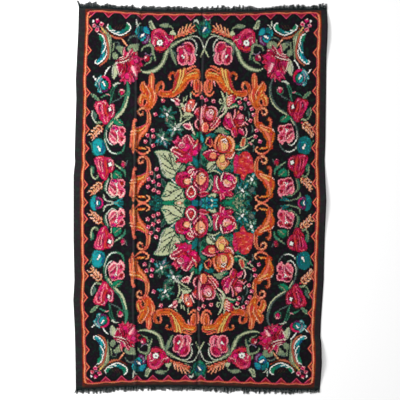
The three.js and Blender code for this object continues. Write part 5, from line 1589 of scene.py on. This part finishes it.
def border(stitches, x, y, ends):
    """Paints the selvedges and the scalloped line. ends is how far each stitch is inward from each edge."""
    margins = (LEFT_SELVEDGE, RIGHT_SELVEDGE, TOP_STRIP, BOTTOM_STRIP)
    left, right, top, bottom = (end - margin for end, margin in zip(ends, margins))
    side, end = np.minimum(left, right), np.minimum(top, bottom)
    outer = np.minimum(side, end)
    line = np.where(side < end, BAND, END_BAND)
    near = np.full(x.shape, np.inf)
    for cusps, place, depth, band, rise in (
        (CUSPS_TOP, x, top, END_BAND, END_CUSP_HEIGHT), (CUSPS_BOTTOM, x, bottom, END_BAND, END_CUSP_HEIGHT),
        (CUSPS_LEFT, y, left, BAND, CUSP_HEIGHT), (CUSPS_RIGHT, y, right, BAND, CUSP_HEIGHT),
    ):
        order = np.sort(cusps)
        after = np.clip(np.searchsorted(order, place), 1, len(order) - 1)
        off = np.minimum(np.abs(place - order[after - 1]), np.abs(place - order[after]))
        bite = band + rise * np.clip(1 - off / CUSP_REACH, 0, 1) ** CUSP_CURVE
        near = np.minimum(near, depth - bite)
    near = np.minimum(near, (side + end - BAND - END_BAND - CORNER_CUT) * DIAGONAL)
    stitches[outer < 0] = NUMBER["selvedge"]
    stitches[(bottom < 0) & (side >= 0)] = NUMBER["brown"]
    painted = (near <= 0) & (outer >= 0)
    swing = np.clip(outer - near - line, 0, CUSP_HEIGHT)
    notch = CORE_STEP * np.sign(np.sin(2 * np.pi * np.where(side < end, y, x) / STEP_LENGTH))
    core = np.minimum(outer, (side + end - CORNER_START) * DIAGONAL) - CORE_SWING * swing + notch
    for edge, chevrons, straight in ((side <= end, CHEVRONS, CORE), (end < side, END_CHEVRONS, END_CORE)):
        for depth, layers in ((-near, chevrons), (core, straight)):
            inner = 0
            for yarn, reach in layers:
                stitches[painted & edge & (depth >= inner) & (depth < reach)] = NUMBER[yarn]
                inner = reach
    stitches[painted & (core < 0)] = NUMBER["rust"]
    return near


# Flecks of other dye lots: how many across and along in each square, and the rows and columns that they take.
FLECK_DENSITY = (1, 1.2)
FLECK_MIDDLE = (140, 240)
FLECKS = (500, 300)


def weave():
    """The yarn of every stitch."""
    across, along = QUADS_ACROSS * QUAD_STITCHES, QUADS_ALONG * QUAD_STITCHES
    u = -HALF_WIDTH + (np.arange(across) + 0.5) * 2 * HALF_WIDTH / across
    v = -HALF_LENGTH + (np.arange(along) + 0.5) * 2 * HALF_LENGTH / along
    u, v = np.meshgrid(u, v)
    x, y = lay(u, v)
    ends = (x - read(LEFT_EDGE, y), read(RIGHT_EDGE, y) - x, read(TOP_EDGE, u) - y, y - read(BOTTOM_EDGE, u))
    ends = [e / SQUARE for e in ends]
    x, y = x / SQUARE, (y - MIRROR_LINE) / SQUARE
    stitches = np.zeros(x.shape, np.uint8)
    near = border(stitches, x, y, ends)
    row = np.where(y < 0, np.interp(-y, *LOWER_ROWS), y)
    shift = np.interp(x, *LOWER_SHIFT_X) * np.interp(row, *LOWER_SHIFT_Y)
    column = np.where(y < 0, x + shift, x)
    turn = 2 * np.pi / STEP_LENGTH
    row, column = row + STEP * np.sign(np.sin(turn * column)), column + STEP * np.sign(np.sin(turn * row))
    rows = np.clip(((row - CHART_Y[0]) * CELLS).astype(int), 0, Pen.chart.shape[0] - 1)
    columns = np.clip(((column - CHART_X[0]) * CELLS).astype(int), 0, Pen.chart.shape[1] - 1)
    charted = Pen.chart[rows, columns]
    fleck_column = (x * FLECK_DENSITY[0] + FLECK_MIDDLE[0]).astype(int)
    fleck_row = (y * FLECK_DENSITY[1]).astype(int) + FLECK_MIDDLE[1]
    fleck = rng.random(FLECKS)[fleck_row, fleck_column]
    lighter = np.where(fleck > 1 - MOTTLE, LIGHTER[charted], charted)
    charted = np.where(fleck < MOTTLE, DARKER[charted], lighter)
    show = (near > 0) & (charted > 0)
    stitches[show] = charted[show]
    return stitches


# What the shader's own sockets say of every wool.
WOOL_FINISH = {"Roughness": 0.9, "Sheen Weight": 0.03, "Sheen Roughness": 0.5, "Specular IOR Level": 0.04}


class Shader:
    """Short calls for building a node tree."""

    def __init__(self, name):
        self.material = bpy.data.materials.new(name)
        self.material.use_nodes = True
        self.tree = self.material.node_tree
        self.tree.nodes.clear()

    def node(self, kind, **settings):
        made = self.tree.nodes.new(kind)
        for key, value in settings.items():
            setattr(made, key, value)
        return made

    def link(self, source, target):
        if isinstance(source, (int, float)):
            target.default_value = source
        else:
            self.tree.links.new(source, target)

    def math(self, operation, a, b=0.0, c=0.0):
        made = self.node("ShaderNodeMath", operation=operation)
        for value, socket in zip((a, b, c), made.inputs):
            self.link(value, socket)
        return made.outputs[0]

    def noise(self, vector, scale, detail, stretch=None):
        if stretch:
            mapping = self.node("ShaderNodeMapping")
            mapping.inputs["Scale"].default_value = stretch
            self.tree.links.new(vector, mapping.inputs["Vector"])
            vector = mapping.outputs[0]
        made = self.node("ShaderNodeTexNoise")
        made.inputs["Scale"].default_value = scale
        made.inputs["Detail"].default_value = detail
        self.tree.links.new(vector, made.inputs["Vector"])
        return made.outputs["Fac"]

    def ramp(self, factor, stops, constant=False):
        made = self.node("ShaderNodeValToRGB")
        ramp = made.color_ramp
        ramp.interpolation = "CONSTANT" if constant else "LINEAR"
        while len(ramp.elements) < len(stops):
            ramp.elements.new(1.0)
        for element, (place, colour) in zip(ramp.elements, stops):
            element.position = place
            element.color = (*colour, 1.0)
        self.link(factor, made.inputs[0])
        return made.outputs[0]

    def output(self, shader):
        out = self.node("ShaderNodeOutputMaterial")
        self.link(shader.outputs[0], out.inputs["Surface"])
        return self.material

    def wool(self, colour, height, strength, distance):
        """Matt wool of the colour given, with a bump of the height, strength and distance given."""
        shader = self.node("ShaderNodeBsdfPrincipled")
        self.link(colour, shader.inputs["Base Color"])
        for socket, value in WOOL_FINISH.items():
            shader.inputs[socket].default_value = value
        bump = self.node("ShaderNodeBump")
        bump.inputs["Strength"].default_value = strength
        bump.inputs["Distance"].default_value = distance
        self.link(height, bump.inputs["Height"])
        self.link(bump.outputs[0], shader.inputs["Normal"])
        return self.output(shader)


# Faint green and purple lights in the dark wool, by the strength of a noise.
FIELD_TINTS = (
    (0.36, (0.001, 0.010, 0.006)), (0.47, (0.001, 0.003, 0.002)), (0.53, (0.001, 0.0, 0.001)),
    (0.64, (0.007, 0.002, 0.007)),
)
# Noises in the wool, each with its scale and detail: flecks, dye bands and clouds, with their shares of its
# lightness, then the breakup of the painted highlight and painted shadow along the fold lines, the drift of
# the hue and the tints.
FLECK_NOISE = (160, 3)
BAND_NOISE = (6, 3)
BAND_STRETCH = (0.25, 9, 1)
CLOUD_NOISE = (14, 4)
FLECK_SHARE = 0.5
BAND_SHARE = 0.35
CLOUD_SHARE = 0.4
CREASE_LIGHT_NOISE = (9, 3)
CREASE_LIGHT_SPREAD = (1.2, 0.1)
HUE_NOISE = (22, 3)
HUE = (0.08, 0.46)
TINT_NOISE = (30, 4)
LIGHTNESS = 0.38
# How much the painted highlight on the fold crests adds to the lightness.
CREASE_HIGHLIGHT_LIGHTNESS = 0.3
# Two whole numbers count as the same within this.
NEAR = 0.25
# The bump: how far the weft's small ribs cut into the warp's, the share of the ribs, and its strength and
# depth in metres. Flecks have the share in it that they have in the lightness.
WEFTS_A_STITCH = 6
WEFT_CUT = 0.25
RIB_SHARE = 0.6
BUMP = (0.55, 0.0008)

# Fold lines across the weave, in metres: where each gets a painted highlight, and how far from there its
# painted shadow lies.
CREASES = ((-0.522, 0.023), (0.008, -0.018))
CREASE_WIDTH = 0.013
# The colour that the painted highlight adds along each fold's crest.
CREASE_HIGHLIGHT_COLOUR = (0.032, 0.031, 0.033)


def wool_material():
    """Weft-faced wool: the yarn's colour from the stitches, then dye variation, a painted highlight and
    painted shadow along the fold lines, ribs and sheen.
    """
    s = Shader("woven_wool")
    weave_at = s.node("ShaderNodeAttribute", attribute_name="weave")
    split = s.node("ShaderNodeSeparateXYZ")
    s.link(weave_at.outputs["Vector"], split.inputs[0])
    quad_x, quad_y = split.outputs[:2]
    column, row = (
        s.math("FLOOR", s.math("MULTIPLY", s.math("FRACT", quad), QUAD_STITCHES)) for quad in (quad_x, quad_y)
    )
    yarn = 0.0
    for r in range(QUAD_STITCHES):
        stored = s.node("ShaderNodeAttribute", attribute_name=f"stitches_{r}")
        channels = s.node("ShaderNodeSeparateColor")
        s.link(stored.outputs["Color"], channels.inputs[0])
        values = (*channels.outputs[:3], stored.outputs["Alpha"])
        in_row = s.math("COMPARE", row, r, NEAR)
        for c, value in enumerate(values):
            chosen = s.math("MULTIPLY", in_row, s.math("COMPARE", column, c, NEAR))
            yarn = s.math("MULTIPLY_ADD", chosen, value, yarn)
    stops = [(number / len(YARNS), linear(colour)) for number, colour in enumerate(YARNS.values())]
    colour = s.ramp(yarn, stops, constant=True)

    place = s.node("ShaderNodeTexCoord").outputs["Object"]
    fleck = s.noise(place, *FLECK_NOISE)
    bands = s.noise(place, *BAND_NOISE, stretch=BAND_STRETCH)
    value = s.math("MULTIPLY", s.noise(place, *CLOUD_NOISE), CLOUD_SHARE)
    for noise, share in ((bands, BAND_SHARE), (fleck, FLECK_SHARE)):
        value = s.math("MULTIPLY_ADD", noise, share, value)
    across = s.math("MULTIPLY_ADD", quad_x, 2 * HALF_WIDTH / QUADS_ACROSS, -HALF_WIDTH)
    # Painted light along the fold lines: a painted highlight on each crest and a painted shadow beside it.
    painted_highlight, shaded = 0.0, 0.0
    for start, gap in CREASES:
        pale, dark = (
            s.math("ABSOLUTE", s.math("MULTIPLY_ADD", across, 1 / CREASE_WIDTH, -line / CREASE_WIDTH))
            for line in (start, start + gap)
        )
        painted_highlight = s.math("MAXIMUM", painted_highlight, s.math("SUBTRACT", 1.0, pale))
        shaded = s.math("MAXIMUM", shaded, s.math("SUBTRACT", 1.0, dark))
    # Noise breaks up the painted highlight and the painted shadow.
    light_breakup = s.math("MULTIPLY_ADD", s.noise(place, *CREASE_LIGHT_NOISE), *CREASE_LIGHT_SPREAD)
    painted_highlight = s.math("MULTIPLY", painted_highlight, light_breakup)
    # The painted shadow darkens the wool beside each crest, and the painted highlight lightens the crest.
    value = s.math("MULTIPLY_ADD", s.math("MULTIPLY", shaded, light_breakup), -1.0, value)
    value = s.math("MULTIPLY_ADD", painted_highlight, CREASE_HIGHLIGHT_LIGHTNESS, value)
    hue = s.node("ShaderNodeHueSaturation")
    s.link(s.math("ADD", value, LIGHTNESS), hue.inputs["Value"])
    s.link(s.math("MULTIPLY_ADD", s.noise(place, *HUE_NOISE), *HUE), hue.inputs["Hue"])
    s.link(colour, hue.inputs["Color"])
    tint = s.node("ShaderNodeVectorMath", operation="ADD")
    s.link(hue.outputs[0], tint.inputs[0])
    s.link(s.ramp(s.noise(place, *TINT_NOISE), FIELD_TINTS), tint.inputs[1])
    # Adds the painted highlight's colour along the crests.
    crease = s.node("ShaderNodeVectorMath", operation="MULTIPLY_ADD")
    crease.inputs[0].default_value = CREASE_HIGHLIGHT_COLOUR
    s.link(painted_highlight, crease.inputs[1])
    s.link(tint.outputs[0], crease.inputs[2])

    warp = s.math("ABSOLUTE", s.math("SINE", s.math("MULTIPLY", quad_x, QUAD_STITCHES * math.pi)))
    brick = s.math("MULTIPLY", s.math("FLOOR", s.math("MULTIPLY", quad_x, QUAD_STITCHES)), math.pi)
    turns = s.math("MULTIPLY_ADD", quad_y, QUAD_STITCHES * WEFTS_A_STITCH * math.pi, brick)
    weft = s.math("MULTIPLY_ADD", s.math("SINE", turns), WEFT_CUT, 1 - WEFT_CUT)
    rib = s.math("MULTIPLY", s.math("MULTIPLY", warp, weft), RIB_SHARE)
    return s.wool(crease.outputs[0], s.math("MULTIPLY_ADD", fleck, FLECK_SHARE, rib), *BUMP)


# The loose yarns: their two shades and where each stands on the noise, the scales and details of flecks and
# twist, and the bump's strength and depth in metres.
FRINGE_DARK = (6, 13, 15)
FRINGE_LIGHT = (48, 60, 60)
FRINGE_STOPS = (0.3, 0.7)
FRINGE_FLECKS = (140, 3)
FRINGE_TWIST = (560, 2)
FRINGE_BUMP = (0.5, 0.0006)


def fringe_material():
    """Twisted wool with flecks between two shades."""
    s = Shader("fringe_wool")
    place = s.node("ShaderNodeTexCoord").outputs["Object"]
    shades = zip(FRINGE_STOPS, (linear(FRINGE_DARK), linear(FRINGE_LIGHT)))
    colour = s.ramp(s.noise(place, *FRINGE_FLECKS), list(shades))
    return s.wool(colour, s.noise(place, *FRINGE_TWIST), *FRINGE_BUMP)


def mesh_object(name, points, faces, material, shade=True):
    mesh = bpy.data.meshes.new(name)
    mesh.from_pydata(points, [], faces)
    mesh.materials.append(material)
    mesh.polygons.foreach_set("use_smooth", [shade] * len(mesh.polygons))
    mesh.update()
    made = bpy.data.objects.new(name, mesh)
    bpy.context.collection.objects.link(made)
    return made


# From the tables' own zero to the frame's.
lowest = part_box("woven_sheet")[0]
OFFSET_X = lowest[0] - min(x for _, x in LEFT_EDGE)
OFFSET_Y = lowest[1] - BOTTOM_EDGE[-1][1]


def rug_sheet():
    """The cloth: an upper and a lower face of quads and the rim between them."""
    columns, rows = QUADS_ACROSS + 1, QUADS_ALONG + 1
    across = np.linspace(-HALF_WIDTH, HALF_WIDTH, columns)
    u, v = np.meshgrid(across, np.linspace(-HALF_LENGTH, HALF_LENGTH, rows))
    x, y = lay(u, v)
    z = lift(u, v)
    lower = np.stack([x + OFFSET_X, y + OFFSET_Y, z], -1).reshape(-1, 3)
    points = np.vstack([lower, lower + (0, 0, THICKNESS)])
    n = rows * columns
    corner = (np.arange(rows - 1)[:, None] * columns + np.arange(columns - 1)).ravel()
    under = np.stack([corner, corner + columns, corner + columns + 1, corner + 1], 1)
    upper = np.stack([corner, corner + 1, corner + columns + 1, corner + columns], 1) + n
    ring = np.concatenate([
        np.arange(columns - 1), np.arange(rows - 1) * columns + columns - 1,
        n - 1 - np.arange(columns - 1), (rows - 1 - np.arange(rows - 1)) * columns,
    ])
    following = np.roll(ring, -1)
    rim = np.stack([ring, following, following + n, ring + n], 1)
    faces = np.vstack([upper, under, rim])
    sheet = mesh_object("rug", points.tolist(), faces.tolist(), wool_material())
    mesh = sheet.data

    stitches = (weave() + 0.5) / len(YARNS)
    quads = stitches.reshape(QUADS_ALONG, QUAD_STITCHES, QUADS_ACROSS, QUAD_STITCHES)
    rim_cells = np.clip(ring // columns, 0, QUADS_ALONG - 1) * QUADS_ACROSS
    rim_cells += np.clip(ring % columns, 0, QUADS_ACROSS - 1)
    for r in range(QUAD_STITCHES):
        cells = quads[:, r].reshape(-1, QUAD_STITCHES)
        values = np.vstack([cells, cells, cells[rim_cells]])
        layer = mesh.attributes.new(f"stitches_{r}", "FLOAT_COLOR", "FACE")
        layer.data.foreach_set("color", values.astype(np.float32).ravel())
    quad_x = (u + HALF_WIDTH) / (2 * HALF_WIDTH) * QUADS_ACROSS
    quad_y = (v + HALF_LENGTH) / (2 * HALF_LENGTH) * QUADS_ALONG
    place = np.stack([quad_x, quad_y, np.zeros_like(u)], -1).reshape(-1, 3)
    layer = mesh.attributes.new("weave", "FLOAT_VECTOR", "POINT")
    layer.data.foreach_set("vector", np.vstack([place, place]).astype(np.float32).ravel())
    bake_map(mesh, place, n)
    return sheet


MAP_SIZE = (0.49, 0.98)
MAP_MARGIN = (0.005, 0.01)


def bake_map(mesh, place, n):
    """A map with the upper face on the left half and the lower face on the right half."""
    uv = np.vstack([place[:, :2] / (QUADS_ACROSS, QUADS_ALONG)] * 2) * MAP_SIZE + MAP_MARGIN
    uv[:n, 0] += 0.5
    loops = np.empty(len(mesh.loops), np.int32)
    mesh.loops.foreach_get("vertex_index", loops)
    layer = mesh.uv_layers.new(name="OFBake")
    layer.data.foreach_set("uv", uv[loops].astype(np.float32).ravel())


def stray(strand, of_strand, of_yarn):
    """What each yarn strays by: with its strand, and on its own."""
    return of_strand * rng.uniform(-1, 1, STRANDS)[strand] + of_yarn * rng.uniform(-1, 1, len(strand))


def fringe_yarns(name, side, table, material):
    """One fringe: the woven strip along the cloth's end and the loose yarns, in groups that lean together."""
    table = np.array(table)
    count = STRANDS * YARNS_A_STRAND
    strand = np.arange(count) // YARNS_A_STRAND
    u = -HALF_WIDTH + 2 * HALF_WIDTH * (np.arange(count) + 0.5) / count
    x, y = lay(u, np.full(count, side * HALF_LENGTH))
    length = np.interp(u, table[:, 0], table[:, 1])
    length *= 1 + stray(strand, *LENGTH_SPREAD)
    lean = np.interp(u, table[:, 0], table[:, 2])
    lean += stray(strand, *LEAN_SPREAD)
    share = np.linspace(0, 1, YARN_STEPS)
    turns = share * rng.uniform(*SWAY_TURNS, (count, 1)) + rng.uniform(*SWAY_START, (count, 1))
    sway = SWAY * np.sin(turns)
    px = x[:, None] + lean[:, None] * share**1.5 + sway * share
    loose = STRIP_WIDTH * (1 - YARN_START) + length[:, None]
    py = y[:, None] + side * (STRIP_GAP + STRIP_WIDTH * YARN_START + loose * share)
    rise = rng.uniform(0, ROOT_RISE, (count, 1)) * (1 - share) + rng.uniform(0, TIP_RISE, (count, 1)) * share
    radius = YARN_RADIUS * (1 - YARN_TAPER * share**3) * rng.uniform(*YARN_SPREAD, (count, 1))
    angle = np.arange(YARN_SIDES) * 2 * np.pi / YARN_SIDES + np.pi / 4
    ring_x = px[..., None] + radius[..., None] * np.cos(angle)
    ring_z = (rise + radius)[..., None] + radius[..., None] * np.sin(angle)
    ring_y = np.broadcast_to(py[..., None], ring_x.shape)
    points = np.stack([ring_x + OFFSET_X, ring_y + OFFSET_Y, ring_z], -1).reshape(-1, 3)
    yarn = np.arange(count)[:, None] * YARN_STEPS
    first = (yarn[..., None] + np.arange(YARN_STEPS - 1)[:, None]) * YARN_SIDES
    here, there = np.arange(YARN_SIDES), (np.arange(YARN_SIDES) + 1) % YARN_SIDES
    corners = (here, there, there + YARN_SIDES, here + YARN_SIDES)
    faces = np.stack([first + corner for corner in corners], -1).reshape(-1, 4).tolist()
    faces += (yarn * YARN_SIDES + here).tolist()
    faces += ((yarn + YARN_STEPS - 1) * YARN_SIDES + here[::-1]).tolist()
    if side > 0:
        faces = [face[::-1] for face in faces]

    n = STRANDS + 1
    ex, ey = lay(np.linspace(-HALF_WIDTH, HALF_WIDTH, n), np.full(n, side * HALF_LENGTH))
    start = len(points)
    rows = [
        np.stack([ex + OFFSET_X, ey + OFFSET_Y + side * (STRIP_GAP + STRIP_WIDTH * out),
                  np.full(n, height)], 1) for out, height in STRIP_SECTION]
    points = np.vstack([points] + rows)
    starts = [start + row * n for row in range(len(rows))]
    for a, b in zip(starts, starts[1:] + starts[:1]):
        for i in range(STRANDS):
            face = [a + i, a + i + 1, b + i + 1, b + i]
            faces.append(face if side > 0 else face[::-1])
    faces.append(starts[::side])
    faces.append([begin + STRANDS for begin in starts[::-side]])
    return mesh_object(name, points.tolist(), faces, material)


# The camera looks straight down: what it takes in and how high it is, in metres.
VIEW_WIDTH = 3.2
VIEW_MIDDLE_Y = -0.016
CAMERA_HEIGHT = 9.0
SENSOR = 36
camera_data = bpy.data.cameras.new("camera")
camera = bpy.data.objects.new("camera", camera_data)
bpy.context.collection.objects.link(camera)
bpy.context.scene.camera = camera
camera.location = (OFFSET_X, VIEW_MIDDLE_Y + OFFSET_Y, CAMERA_HEIGHT)
camera_data.sensor_width = SENSOR
camera_data.lens = SENSOR * CAMERA_HEIGHT / VIEW_WIDTH

rug = rug_sheet()
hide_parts("woven_sheet")
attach(rug, "root")

fringe_wool = fringe_material()
for node, side, table in (("fringe_top", 1, TOP_FRINGE), ("fringe_bottom", -1, BOTTOM_FRINGE)):
    piece = fringe_yarns(node + "_yarns", side, table, fringe_wool)
    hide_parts(node)
    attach(piece, "root")


FLOOR_COLOUR = (0.93, 0.93, 0.93, 1)
FLOOR_REACH = 20
FLOOR_HEIGHT = -0.0005


def floor_material():
    s = Shader("floor")
    shader = s.node("ShaderNodeBsdfPrincipled")
    shader.inputs["Base Color"].default_value = FLOOR_COLOUR
    shader.inputs["Roughness"].default_value = 0.9
    return s.output(shader)


corners = [(x * FLOOR_REACH, y * FLOOR_REACH, FLOOR_HEIGHT) for x, y in ((-1, -1), (1, -1), (1, 1), (-1, 1))]
floor = mesh_object("floor", corners, [(0, 1, 2, 3)], floor_material(), shade=False)

# The studio: how bright its walls are, and the lamp's place and size in metres and its power in watts.
STUDIO_LIGHT = 0.72
KEY_PLACE = (-5.2, 1.2, 2.6)
KEY_SIZE = 1.6
KEY_POWER = 532

scene = bpy.context.scene
scene.view_settings.view_transform = "Standard"
world = bpy.data.worlds.new("studio")
scene.world = world
world.use_nodes = True
background = world.node_tree.nodes["Background"]
background.inputs["Color"].default_value = (1, 1, 1, 1)
background.inputs["Strength"].default_value = STUDIO_LIGHT

# A large soft lamp low on the left, aimed at the middle of the floor.
key_data = bpy.data.lights.new("key", "AREA")
key_data.size = KEY_SIZE
key_data.energy = KEY_POWER
key = bpy.data.objects.new("key", key_data)
key.location = KEY_PLACE
bpy.context.collection.objects.link(key)
x, y, z = KEY_PLACE
key.rotation_euler = (math.acos(z / math.hypot(x, y, z)), 0, math.atan2(x, -y))
